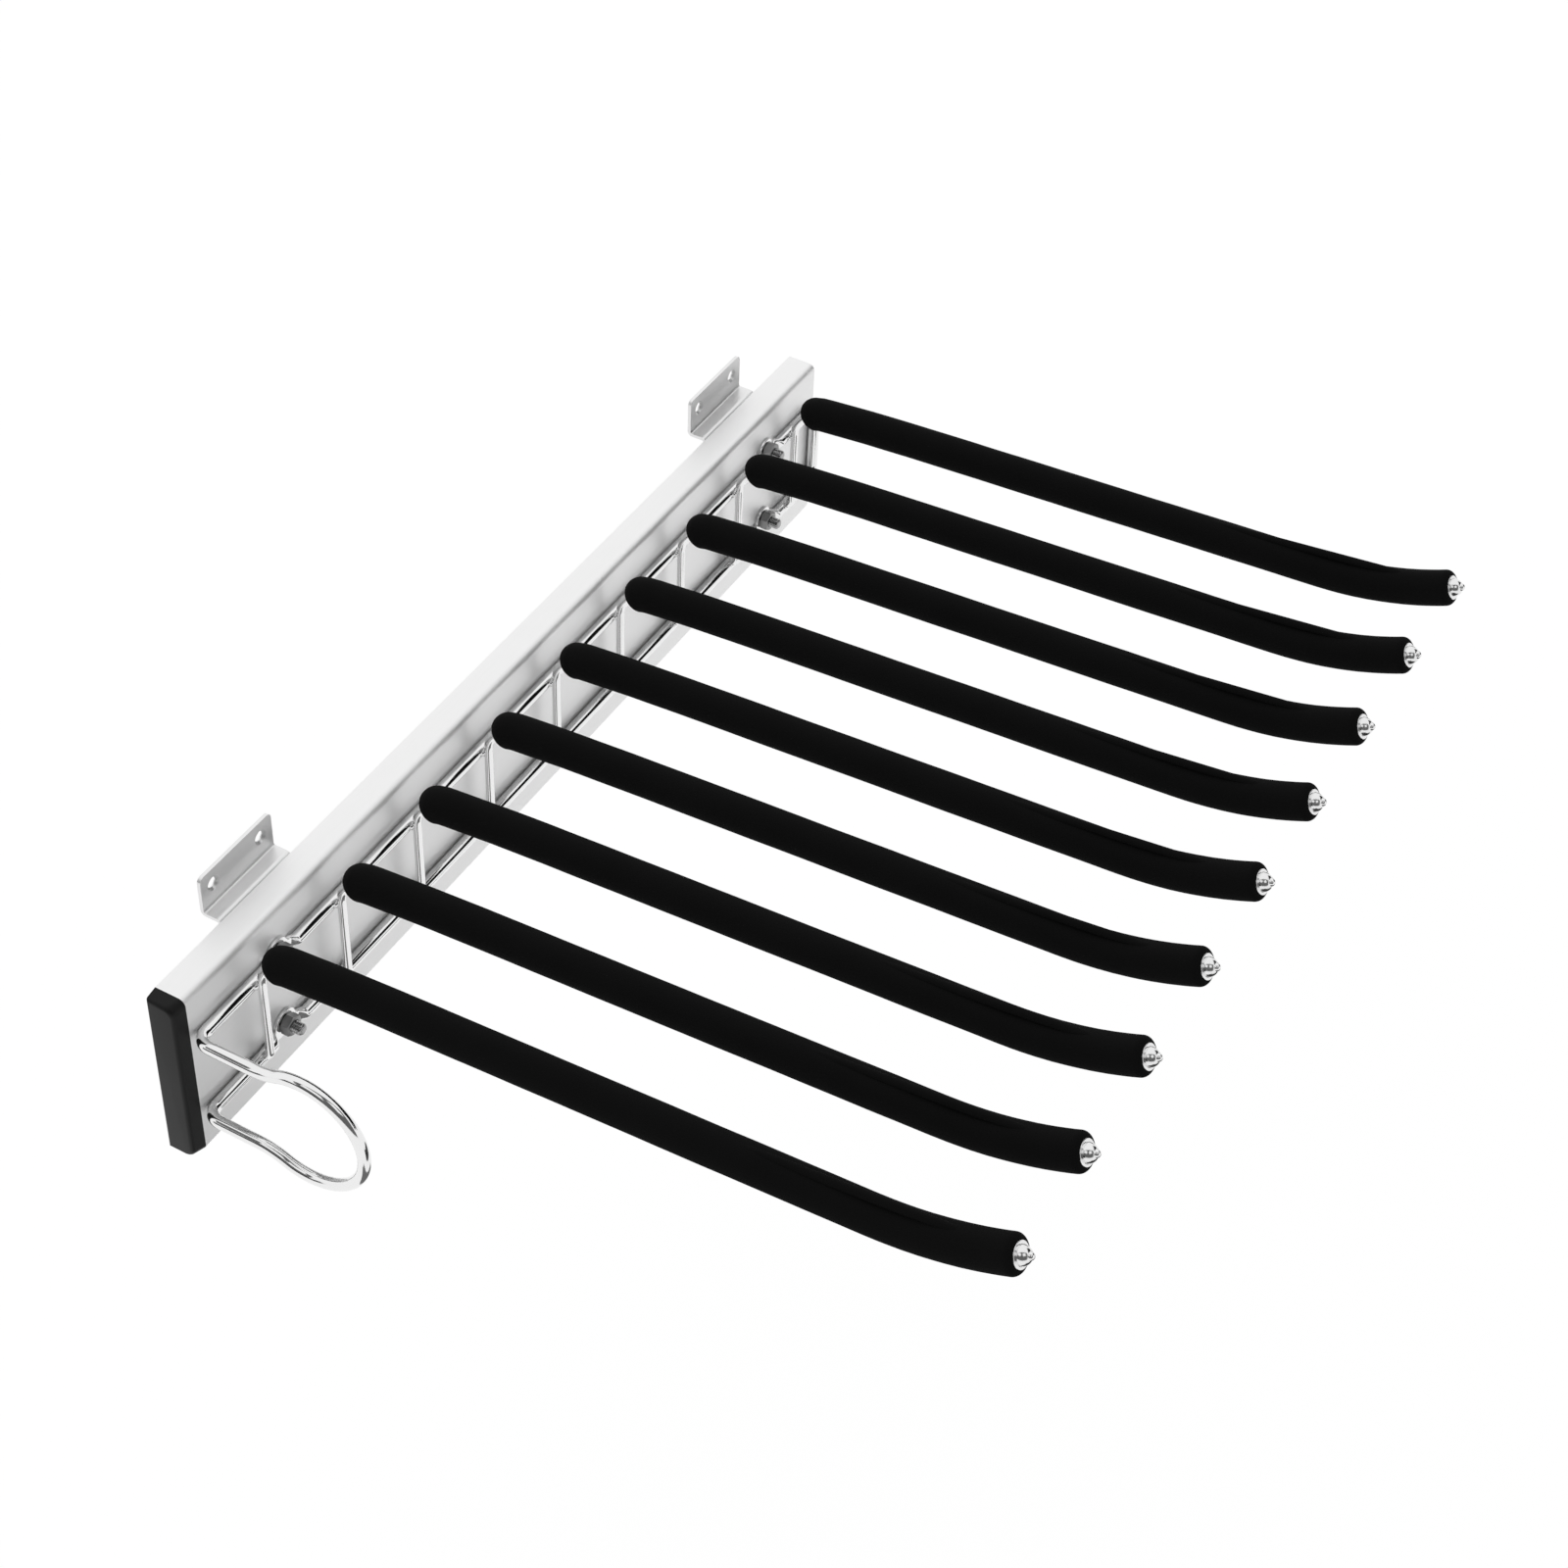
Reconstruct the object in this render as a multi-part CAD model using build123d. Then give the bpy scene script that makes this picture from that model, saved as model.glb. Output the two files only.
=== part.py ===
from build123d import *

import os
from math import asin, cos, degrees, radians, sin, sqrt

# Side mounted pull out trouser rack.
# X runs from the wardrobe's side wall towards the arm tips, Y runs from the door into the
# wardrobe, Z is up. The origin lies on the wall face, midway between the two screw holes of
# the front bracket. All sizes are in millimetres and all angles in degrees.

# ================================================================ driving dimensions
# Arms: bent steel rods, welded in front of the wire frame
ARM_COUNT = 9
ARM_PITCH = 49.0
FRONT_TO_ARM = 33.7
ARM_TO_REAR = 28.3
ROD_D = 3.5
WELD_SINK = 0.3
FOOT_ANGLE = 45.0
FOOT_BEND = 4.0
ROOT_BEND = 16.0
ROOT_ANGLE = 6.0
ROOT_BELOW_COVER = 17.8
RISE_ANGLE = 3.4
SETTLE_LENGTH = 45.0
ARM_RUN = 190.0
TIP_BEND = 138.0
TIP_ANGLE = 26.8

# Foam sleeves over the arms
SLEEVE_WALL = 5.6
SLEEVE_START_ANGLE = 40.0
SLEEVE_ROOT_FLAT = 0.4
SLEEVE_TIP_ROUND = 3.0

# Turned caps that stop the sleeves
TIP_FLANGE_D = 9.8
TIP_FLANGE_H = 1.4
TIP_SEAT = 1.2
TIP_SEAT_PLAY = 0.1
TIP_DOME_D = 7.4
TIP_NUB_D = 3.2
TIP_NUB_H = 1.1
TIP_SOCKET = 2.6

# Wall brackets and their screw holes
BRACKET_SHEET = 1.5
BRACKET_BEND = 0.8
BRACKET_CORNER = 2.5
BRACKET_SETOFF = 9.5
BRACKET_LEG_END = 3.0
FRONT_TO_BRACKET = 59.9
BRACKET_TO_REAR = 51.1
SCREW_SPACING = 28.0
SCREW_TO_END = 7.0
SCREW_TO_TOP = 7.2
SCREW_ABOVE_WEB = 9.4
SCREW_HOLE_D = 4.4
SCREW_SINK_D = 6.4
WEB_BELOW_COVER = 1.4

# Ball bearing slide
TRAVEL = 400.0
SLIDE_HEIGHT = 45.0
SLIDE_SHEET = 1.2
SLIDE_BEND = 1.0
SLIDE_FRONT_GAP = 3.0
SLIDE_REAR_GAP = 1.0
BALL_D = 4.0
BALL_PLAY = 0.1
BALL_PITCH = 20.0
BALL_TO_BEND = 0.65
RACE_DEPTH = 0.35
INNER_CLEARANCE = 1.1
STRIP_SHEET = 0.8
STRIP_RIM = 0.6
STRIP_END_GAP = 8.0
POCKET_PLAY = 0.15
BUFFER_LENGTH = 4.0
BUFFER_GAP = 0.5

# Rivets of the slide
RIVET_D = 4.0
RIVET_HEAD_D = 7.0
RIVET_HEAD_H = 1.0
RIVET_PLAY = 0.05
RIVET_HEAD_CLEARANCE = 0.5
BRACKET_RIVET_SPACING = 22.0
COVER_RIVET_COUNT = 4
COVER_RIVET_PITCH = 110.0

# Cover profile and its end cap
COVER_HEIGHT = 81.5
COVER_SHEET = 1.2
COVER_RADIUS = 3.0
COVER_TO_BRACKET = 0.8
CAP_LENGTH = 6.0
CAP_TAPER = 1.2
CAP_EDGE = 1.3
CAP_PLUG_LENGTH = 5.0
CAP_PLUG_HEIGHT = 6.0
CAP_PLUG_PLAY = 0.15

# Wire frame and pull handle
WIRE_D = 5.0
FRAME_ABOVE_CENTRE = 0.7
FRONT_BEND = 6.0
REAR_BEND = 8.0
PRESS_HALF = 9.8
PRESS_RAMP = 3.5
PRESS_SHEET = 1.5
PRESS_TO_ARM = 6.5
EYE_RIM = 2.85
HANDLE_LEG = 17.6
HANDLE_NECK = 30.0
HANDLE_BULGE = 4.9

# Bolts that hold the wire frame on the cover
BOLT_D = 5.0
BOLT_HEAD_D = 9.0
BOLT_HEAD_H = 1.5
BOLT_PLAY = 0.25
BOLT_END_LENGTH = 4.2
BOLT_END_ROUND = 1.3
BOLT_ABOVE_WIRE = 2.0
HEAD_TO_SLIDE = 1.65
HEAD_CLEARANCE = 1.0
NUT_FLATS = 8.0
NUT_HEIGHT = 4.0
NUT_CHAMFER = 0.5
NUT_PLAY = 0.05

# ================================================================ derived places
# Section of the slide, from its centre line outwards: flanges and ball rows
RACE_R = BALL_D / 2 + BALL_PLAY
RACE_STEP = RACE_R - RACE_DEPTH
OUTER_HALF = SLIDE_HEIGHT / 2
OUTER_ROW = OUTER_HALF - SLIDE_SHEET - RACE_STEP
MIDDLE_HALF = OUTER_ROW - RACE_STEP
INNER_ROW = MIDDLE_HALF - SLIDE_SHEET - RACE_STEP
INNER_HALF = INNER_ROW - RACE_STEP

# Away from the wall (X)
SLIDE_BACK = BRACKET_SETOFF
MIDDLE_BACK = SLIDE_BACK + SLIDE_SHEET + RIVET_HEAD_H + RIVET_HEAD_CLEARANCE
INNER_BACK = MIDDLE_BACK + SLIDE_SHEET + INNER_CLEARANCE
ROW_X = MIDDLE_BACK + SLIDE_SHEET + SLIDE_BEND + BALL_TO_BEND + BALL_D / 2
FLANGE_END = ROW_X + BALL_D / 2 + BALL_TO_BEND
COVER_INSIDE = FLANGE_END + HEAD_CLEARANCE + BOLT_HEAD_H
COVER_FACE = COVER_INSIDE + COVER_SHEET
COVER_BACK = BRACKET_SETOFF + COVER_TO_BRACKET
WIRE_X = COVER_FACE + WIRE_D / 2
ROD_X = WIRE_X + WIRE_D / 2 + ROD_D / 2 - WELD_SINK
NUT_BASE = COVER_FACE + PRESS_SHEET
NUT_TOP = NUT_BASE + NUT_HEIGHT

# Into the wardrobe (Y)
COVER_LENGTH = FRONT_TO_ARM + ARM_PITCH * (ARM_COUNT - 1) + ARM_TO_REAR
COVER_FRONT = -FRONT_TO_BRACKET
COVER_REAR = COVER_FRONT + COVER_LENGTH
BRACKET_PLACES = (0.0, COVER_REAR - BRACKET_TO_REAR)
BRACKET_LENGTH = SCREW_SPACING + 2 * SCREW_TO_END
BUFFER_ROOM = BUFFER_GAP + BUFFER_LENGTH
SLIDE_FRONT = COVER_FRONT + CAP_PLUG_LENGTH + SLIDE_FRONT_GAP
OUTER_REAR = COVER_REAR - SLIDE_REAR_GAP
MIDDLE_REAR = OUTER_REAR - BUFFER_ROOM
INNER_REAR = MIDDLE_REAR - BUFFER_ROOM
SLIDE_MIDDLE = (SLIDE_FRONT + INNER_REAR) / 2
ARM_PLACES = [COVER_FRONT + FRONT_TO_ARM + ARM_PITCH * arm for arm in range(ARM_COUNT)]
ARM_TO_BOLT = PRESS_HALF + PRESS_TO_ARM
BOLT_PLACES = (ARM_PLACES[0] + ARM_TO_BOLT, ARM_PLACES[-1] - ARM_TO_BOLT)
WIRE_FRONT = COVER_FRONT + FRONT_BEND
FRAME_REAR = COVER_REAR - WIRE_D / 2

# Height (Z)
WEB_TOP = -SCREW_ABOVE_WEB
COVER_TOP = WEB_TOP + WEB_BELOW_COVER
COVER_BOTTOM = COVER_TOP - COVER_HEIGHT
WIRE_SPACING = 2 * (INNER_HALF + HEAD_TO_SLIDE) + BOLT_HEAD_D
FRAME_CENTRE = (COVER_TOP + COVER_BOTTOM) / 2 + FRAME_ABOVE_CENTRE
UPPER_WIRE = FRAME_CENTRE + WIRE_SPACING / 2
LOWER_WIRE = FRAME_CENTRE - WIRE_SPACING / 2
BOLT_HEIGHTS = (UPPER_WIRE + BOLT_ABOVE_WIRE, LOWER_WIRE + BOLT_ABOVE_WIRE)
SLIDE_CENTRE = FRAME_CENTRE + BOLT_ABOVE_WIRE
ROOT_HEIGHT = COVER_TOP - ROOT_BELOW_COVER

# Foot of a rod: its slanted run from the lower wire's axis, and where its leg starts
FOOT_BEND_X = FOOT_BEND * (1 - cos(radians(FOOT_ANGLE)))
FOOT_RUN = (ROD_X - WIRE_X - FOOT_BEND_X) / cos(radians(FOOT_ANGLE))
LEG_START = LOWER_WIRE + (FOOT_RUN + FOOT_BEND) * sin(radians(FOOT_ANGLE))

SLEEVE_D = ROD_D + 2 * SLEEVE_WALL


# ================================================================ helpers
def bar(section, y_from, y_to):
    """Extrude a section drawn in X and Z along the wardrobe's depth."""
    return extrude(Plane.XZ.offset(-y_to) * section, amount=y_to - y_from)


def peg(radius, x_from, x_to, y, z):
    """A round solid that points away from the wall."""
    base = Plane(origin=(x_from, y, z), x_dir=(0, 1, 0), z_dir=(1, 0, 0))
    return extrude(base * Circle(radius), amount=x_to - x_from)


def block(x_range, y_range, z_range):
    """A rectangular solid that fills three ranges."""
    ranges = (x_range, y_range, z_range)
    size = [high - low for low, high in ranges]
    centre = [(high + low) / 2 for low, high in ranges]
    return Pos(*centre) * Box(*size)


def sheet_section(points, outer_corners, inner_corners, sheet, bend):
    """A folded sheet's section, with each fold rounded on both sides."""
    section = make_face(Polyline(*points, close=True))
    for corners, radius in ((outer_corners, bend + sheet), (inner_corners, bend)):
        folds = [section.vertices().sort_by_distance((x, z, 0))[0] for x, z in corners]
        section = fillet(folds, radius)
    return section


def bent_line(start, heading, steps):
    """Straight runs (length,) and tangent bends (radius, turn) joined in one plane."""
    edges = []
    point = Vector(*start)
    for step in steps:
        way = Vector(cos(radians(heading)), sin(radians(heading)))
        if len(step) == 1:
            edge = Line(point, point + way * step[0]).edge()
        else:
            edge = JernArc(start=point, tangent=way, radius=step[0], arc_size=step[1]).edge()
            heading += step[1]
        edges.append(edge)
        point = edge @ 1
    return edges


def upright(edges, y):
    """Stand edges drawn in X and Z at a depth in the wardrobe."""
    return [Plane.XZ.offset(-y) * edge for edge in edges]


def along(edges, section):
    """Sweep a flat section along joined edges."""
    path = Wire(edges)
    start = Plane(origin=path @ 0, z_dir=path % 0)
    return sweep(start * section, path=path)


# ================================================================ wall brackets
def rivet_places(bracket_y):
    """Depths of the two rivets of one bracket."""
    return [bracket_y + side * BRACKET_RIVET_SPACING / 2 for side in (-1, 1)]


def wall_bracket(bracket_y):
    """Z bracket: screw flange on the wall, short web, leg behind the slide."""
    web_bottom = WEB_TOP - BRACKET_SHEET
    leg_back = BRACKET_SETOFF - BRACKET_SHEET
    leg_bottom = SLIDE_CENTRE - OUTER_HALF + BRACKET_LEG_END
    section = sheet_section(
        points=[
            (0, SCREW_TO_TOP),
            (BRACKET_SHEET, SCREW_TO_TOP),
            (BRACKET_SHEET, WEB_TOP),
            (BRACKET_SETOFF, WEB_TOP),
            (BRACKET_SETOFF, leg_bottom),
            (leg_back, leg_bottom),
            (leg_back, web_bottom),
            (0, web_bottom),
        ],
        outer_corners=[(0, web_bottom), (BRACKET_SETOFF, WEB_TOP)],
        inner_corners=[(BRACKET_SHEET, WEB_TOP), (leg_back, web_bottom)],
        sheet=BRACKET_SHEET,
        bend=BRACKET_BEND,
    )
    bracket = bar(section, bracket_y - BRACKET_LENGTH / 2, bracket_y + BRACKET_LENGTH / 2)
    top_corners = bracket.edges().filter_by(Axis.X).sort_by(Axis.Z)[-2:]
    bracket = fillet(top_corners, BRACKET_CORNER)
    sink_depth = (SCREW_SINK_D - SCREW_HOLE_D) / 2
    for side in (-1, 1):
        y = bracket_y + side * SCREW_SPACING / 2
        bracket -= peg(SCREW_HOLE_D / 2, 0, BRACKET_SHEET, y, 0)
        sink = Rot(0, 90, 0) * Cone(SCREW_HOLE_D / 2, SCREW_SINK_D / 2, sink_depth)
        bracket -= Pos(BRACKET_SHEET - sink_depth / 2, y, 0) * sink
    for y in rivet_places(bracket_y):
        bracket -= peg(RIVET_D / 2 + RIVET_PLAY, leg_back, BRACKET_SETOFF, y, SLIDE_CENTRE)
    return bracket


def bracket_rivets():
    """Rivets with two low heads, which hold the slide's outer member on the brackets."""
    x_from = BRACKET_SETOFF - BRACKET_SHEET
    x_to = SLIDE_BACK + SLIDE_SHEET
    rivets = []
    for bracket_y in BRACKET_PLACES:
        for y in rivet_places(bracket_y):
            rivet = peg(RIVET_D / 2, x_from, x_to, y, SLIDE_CENTRE)
            rivet += peg(RIVET_HEAD_D / 2, x_from - RIVET_HEAD_H, x_from, y, SLIDE_CENTRE)
            rivet += peg(RIVET_HEAD_D / 2, x_to, x_to + RIVET_HEAD_H, y, SLIDE_CENTRE)
            rivets.append(rivet)
    return rivets


# ================================================================ slide
def channel(web, open_end, half_height):
    """C section of sheet: a web at one X, and two flanges that reach another X."""
    inside = web + (SLIDE_SHEET if open_end > web else -SLIDE_SHEET)
    top, bottom = SLIDE_CENTRE + half_height, SLIDE_CENTRE - half_height
    inner_top, inner_bottom = top - SLIDE_SHEET, bottom + SLIDE_SHEET
    return sheet_section(
        points=[
            (web, top),
            (open_end, top),
            (open_end, inner_top),
            (inside, inner_top),
            (inside, inner_bottom),
            (open_end, inner_bottom),
            (open_end, bottom),
            (web, bottom),
        ],
        outer_corners=[(web, top), (web, bottom)],
        inner_corners=[(inside, inner_top), (inside, inner_bottom)],
        sheet=SLIDE_SHEET,
        bend=SLIDE_BEND,
    )


def tracks(row):
    """The round tracks of one ball row, above and below the slide's centre line."""
    heights = (SLIDE_CENTRE + row, SLIDE_CENTRE - row)
    return [Pos(ROW_X, z) * Circle(RACE_R) for z in heights]


def slide_outer_member():
    """Channel on the brackets, which holds the outer balls in its flanges."""
    section = channel(SLIDE_BACK, FLANGE_END, OUTER_HALF) - tracks(OUTER_ROW)
    member = bar(section, SLIDE_FRONT, OUTER_REAR)
    for bracket_y in BRACKET_PLACES:
        for y in rivet_places(bracket_y):
            hole_end = SLIDE_BACK + SLIDE_SHEET
            member -= peg(RIVET_D / 2 + RIVET_PLAY, SLIDE_BACK, hole_end, y, SLIDE_CENTRE)
    return member


def slide_middle_member():
    """Channel between the outer and the inner balls."""
    section = channel(MIDDLE_BACK, FLANGE_END, MIDDLE_HALF)
    section -= tracks(OUTER_ROW) + tracks(INNER_ROW)
    return bar(section, SLIDE_FRONT, MIDDLE_REAR)


def cover_rivet_places():
    """Depths of the rivets between the inner member and the cover."""
    first = SLIDE_MIDDLE - COVER_RIVET_PITCH * (COVER_RIVET_COUNT - 1) / 2
    return [first + COVER_RIVET_PITCH * index for index in range(COVER_RIVET_COUNT)]


def slide_inner_member():
    """Channel that opens towards the wall and carries the cover."""
    section = channel(COVER_INSIDE, INNER_BACK, INNER_HALF) - tracks(INNER_ROW)
    member = bar(section, SLIDE_FRONT, INNER_REAR)
    for y in cover_rivet_places():
        hole_start = COVER_INSIDE - SLIDE_SHEET
        member -= peg(RIVET_D / 2 + RIVET_PLAY, hole_start, COVER_INSIDE, y, SLIDE_CENTRE)
    return member


def cover_rivets():
    """Studs on the cover's inside, peened over the inner member's web."""
    web = COVER_INSIDE - SLIDE_SHEET
    studs = []
    for y in cover_rivet_places():
        stud = peg(RIVET_D / 2, web, COVER_INSIDE, y, SLIDE_CENTRE)
        stud += peg(RIVET_HEAD_D / 2, web - RIVET_HEAD_H, web, y, SLIDE_CENTRE)
        studs.append(stud)
    return studs


def ball_places():
    """Depths of one strip's balls: the strip fits where two members overlap when open."""
    strip_length = INNER_REAR - SLIDE_FRONT - TRAVEL / 2 - 2 * STRIP_END_GAP
    count = int(strip_length / BALL_PITCH)
    first = SLIDE_MIDDLE - BALL_PITCH * (count - 1) / 2
    return [first + BALL_PITCH * index for index in range(count)]


def slide_balls(row):
    """The balls of one row, above and below."""
    heights = (SLIDE_CENTRE + row, SLIDE_CENTRE - row)
    return [Pos(ROW_X, y, z) * Sphere(BALL_D / 2) for z in heights for y in ball_places()]


def ball_retainers(row):
    """Two thin strips with a pocket for each ball of a row."""
    places = ball_places()
    half_width = BALL_D / 2 + STRIP_RIM
    strips = []
    for z in (SLIDE_CENTRE + row, SLIDE_CENTRE - row):
        strip = block(
            (ROW_X - half_width, ROW_X + half_width),
            (places[0] - BALL_PITCH / 2, places[-1] + BALL_PITCH / 2),
            (z - STRIP_SHEET / 2, z + STRIP_SHEET / 2),
        )
        for y in places:
            strip -= Pos(ROW_X, y, z) * Cylinder(BALL_D / 2 + POCKET_PLAY, STRIP_SHEET)
        strips.append(strip)
    return strips


def rear_buffer(web, half_height, y_to):
    """Rubber block across a channel's rear end, which stops the member inside it."""
    half = half_height - SLIDE_SHEET - SLIDE_BEND
    heights = (SLIDE_CENTRE - half, SLIDE_CENTRE + half)
    return block((web + SLIDE_SHEET, FLANGE_END), (y_to - BUFFER_LENGTH, y_to), heights)


# ================================================================ cover and end cap
def cap_outline(inset):
    """Outside of the cover's section, with its top and its face drawn in by an inset."""
    width, height = COVER_FACE - COVER_BACK - inset, COVER_HEIGHT - inset
    centre = (COVER_BACK + width / 2, COVER_BOTTOM + height / 2)
    outline = Pos(*centre) * Rectangle(width, height)
    return fillet(outline.vertices().sort_by(Axis.X)[-2:], COVER_RADIUS)


def cover_profile():
    """Long C cover, open towards the wall, with a hole for each frame bolt."""
    section = sheet_section(
        points=[
            (COVER_BACK, COVER_TOP),
            (COVER_FACE, COVER_TOP),
            (COVER_FACE, COVER_BOTTOM),
            (COVER_BACK, COVER_BOTTOM),
            (COVER_BACK, COVER_BOTTOM + COVER_SHEET),
            (COVER_INSIDE, COVER_BOTTOM + COVER_SHEET),
            (COVER_INSIDE, COVER_TOP - COVER_SHEET),
            (COVER_BACK, COVER_TOP - COVER_SHEET),
        ],
        outer_corners=[(COVER_FACE, COVER_TOP), (COVER_FACE, COVER_BOTTOM)],
        inner_corners=[
            (COVER_INSIDE, COVER_TOP - COVER_SHEET),
            (COVER_INSIDE, COVER_BOTTOM + COVER_SHEET),
        ],
        sheet=COVER_SHEET,
        bend=COVER_RADIUS - COVER_SHEET,
    )
    cover = bar(section, COVER_FRONT, COVER_REAR)
    for y in BOLT_PLACES:
        for z in BOLT_HEIGHTS:
            cover -= peg(BOLT_D / 2 + BOLT_PLAY, COVER_INSIDE, COVER_FACE, y, z)
    return cover


def front_end_cap():
    """Plastic cap that tapers to its front face, with two plugs inside the profile."""
    base = Plane.XZ.offset(-COVER_FRONT) * cap_outline(0)
    face = Plane.XZ.offset(CAP_LENGTH - COVER_FRONT) * cap_outline(CAP_TAPER)
    cap = loft([base, face], ruled=True)
    cap = fillet(cap.faces().sort_by(Axis.Y)[0].edges(), CAP_EDGE)
    depth = (COVER_BACK, COVER_FACE - COVER_RADIUS)
    length = (COVER_FRONT, COVER_FRONT + CAP_PLUG_LENGTH)
    top = COVER_TOP - COVER_SHEET - CAP_PLUG_PLAY
    bottom = COVER_BOTTOM + COVER_SHEET + CAP_PLUG_PLAY
    cap += block(depth, length, (top - CAP_PLUG_HEIGHT, top))
    cap += block(depth, length, (bottom, bottom + CAP_PLUG_HEIGHT))
    return cap


# ================================================================ wire frame
def pressed_stretch(y, z):
    """Room that a press clears in the wire around a bolt, with a ramp at both ends."""
    flat = PRESS_HALF - PRESS_RAMP
    top = NUT_BASE + WIRE_D
    reach = PRESS_HALF + PRESS_RAMP * (top - WIRE_X - WIRE_D / 2) / (WIRE_D - PRESS_SHEET)
    corners = [(NUT_BASE, y - flat), (top, y - reach), (top, y + reach), (NUT_BASE, y + flat)]
    outline = Pos(0, 0, z - WIRE_D) * make_face(Polyline(*corners, close=True))
    return extrude(outline, amount=2 * WIRE_D)


def bolt_eye(y, z):
    """Flat eye around a bolt, drawn out of the pressed wire."""
    base = Plane(origin=(COVER_FACE, y, z), x_dir=(0, 1, 0), z_dir=(1, 0, 0))
    eye = Circle(BOLT_D / 2 + BOLT_PLAY + EYE_RIM)
    strip = Pos(0, -BOLT_ABOVE_WIRE) * Rectangle(2 * (PRESS_HALF - PRESS_RAMP), WIRE_D)
    return extrude(base * make_hull([*eye.edges(), *strip.edges()]), amount=PRESS_SHEET)


def frame_wire():
    """Upper wire, rear upright and lower wire, bent from one length and pressed flat at the bolts."""
    run = FRAME_REAR - REAR_BEND - WIRE_FRONT
    upright_run = WIRE_SPACING - 2 * REAR_BEND
    steps = [(run,), (REAR_BEND, -90), (upright_run,), (REAR_BEND, -90), (run,)]
    edges = bent_line((WIRE_FRONT, UPPER_WIRE), 0, steps)
    wire = along([Plane.YZ.offset(WIRE_X) * edge for edge in edges], Circle(WIRE_D / 2))
    for y in BOLT_PLACES:
        for z in BOLT_HEIGHTS:
            wire -= pressed_stretch(y, z - BOLT_ABOVE_WIRE)
            wire += bolt_eye(y, z)
            wire -= peg(BOLT_D / 2 + BOLT_PLAY, COVER_FACE, NUT_BASE, y, z)
    return wire


def pull_handle():
    """Pear shaped finger loop that closes the frame's front end."""
    half = WIRE_SPACING / 2
    loop_radius = half + HANDLE_BULGE
    reach = loop_radius + HANDLE_NECK
    turn = degrees(asin(sqrt(reach**2 - (half + HANDLE_NECK) ** 2) / reach))
    leg_start = WIRE_X + FRONT_BEND
    steps = [
        (HANDLE_LEG,),
        (HANDLE_NECK, turn),
        (loop_radius, -180 - 2 * turn),
        (HANDLE_NECK, turn),
        (HANDLE_LEG,),
    ]
    loop = upright(bent_line((leg_start, UPPER_WIRE), 0, steps), COVER_FRONT)
    front = bent_line((WIRE_X, WIRE_FRONT), -90, [(FRONT_BEND, 90)])[0]
    back = bent_line((leg_start, COVER_FRONT), 180, [(FRONT_BEND, -90)])[0]
    edges = [Pos(0, 0, UPPER_WIRE) * front, *loop, Pos(0, 0, LOWER_WIRE) * back]
    return along(edges, Circle(WIRE_D / 2))


def frame_bolts():
    """Low headed bolts from inside the cover, with rounded ends."""
    bolts = []
    for y in BOLT_PLACES:
        for z in BOLT_HEIGHTS:
            shank = peg(BOLT_D / 2, COVER_INSIDE, NUT_TOP + BOLT_END_LENGTH, y, z)
            end = shank.faces().sort_by(Axis.X)[-1]
            head = peg(BOLT_HEAD_D / 2, COVER_INSIDE - BOLT_HEAD_H, COVER_INSIDE, y, z)
            bolts.append(fillet(end.edges(), BOLT_END_ROUND) + head)
    return bolts


def frame_nuts():
    """Hexagon nuts with turned corners."""
    nuts = []
    for y in BOLT_PLACES:
        for z in BOLT_HEIGHTS:
            base = Plane(origin=(NUT_BASE, y, z), x_dir=(0, 1, 0), z_dir=(1, 0, 0))
            hexagon = RegularPolygon(NUT_FLATS / 2, 6, major_radius=False)
            turned = peg(NUT_FLATS / sqrt(3), NUT_BASE, NUT_TOP, y, z)
            turned = chamfer(turned.faces().sort_by(Axis.X)[-1].edges(), NUT_CHAMFER)
            nut = extrude(base * hexagon, amount=NUT_HEIGHT) & turned
            nuts.append(nut - peg(BOLT_D / 2 + NUT_PLAY, NUT_BASE, NUT_TOP, y, z))
    return nuts


# ================================================================ arms
def arm_tail():
    """The stretch that a rod and its sleeve share, from the root bend to the tip."""
    settle_turn = ROOT_ANGLE - RISE_ANGLE
    settle_radius = SETTLE_LENGTH / radians(settle_turn)
    return [(settle_radius, -settle_turn), (ARM_RUN,), (TIP_BEND, TIP_ANGLE - RISE_ANGLE)]


def arm_rod(y):
    """Round rod: foot on the lower wire, leg past the upper wire, arm with a raised tip."""
    steps = [
        (FOOT_RUN,),
        (FOOT_BEND, FOOT_ANGLE),
        (ROOT_HEIGHT - LEG_START,),
        (ROOT_BEND, ROOT_ANGLE - 90),
        *arm_tail(),
        (TIP_SOCKET - TIP_SEAT,),
    ]
    edges = bent_line((WIRE_X, LOWER_WIRE), 90 - FOOT_ANGLE, steps)
    rod = along(upright(edges, y), Circle(ROD_D / 2))
    for wire_z in (UPPER_WIRE, LOWER_WIRE):
        rod -= Pos(WIRE_X, y, wire_z) * Rot(90, 0, 0) * Cylinder(WIRE_D / 2, 2 * ROD_D)
    return rod


def sleeve_line(y):
    """Centre line of one sleeve."""
    angle = radians(SLEEVE_START_ANGLE)
    start = (ROD_X + ROOT_BEND * (1 - sin(angle)), ROOT_HEIGHT + ROOT_BEND * cos(angle))
    steps = [(ROOT_BEND, ROOT_ANGLE - SLEEVE_START_ANGLE), *arm_tail()]
    return upright(bent_line(start, SLEEVE_START_ANGLE, steps), y)


def tip_plane(y):
    """Plane across a sleeve's tip end, facing outwards."""
    last = sleeve_line(y)[-1]
    return Plane(origin=last @ 1, x_dir=(0, 1, 0), z_dir=last % 1)


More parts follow.
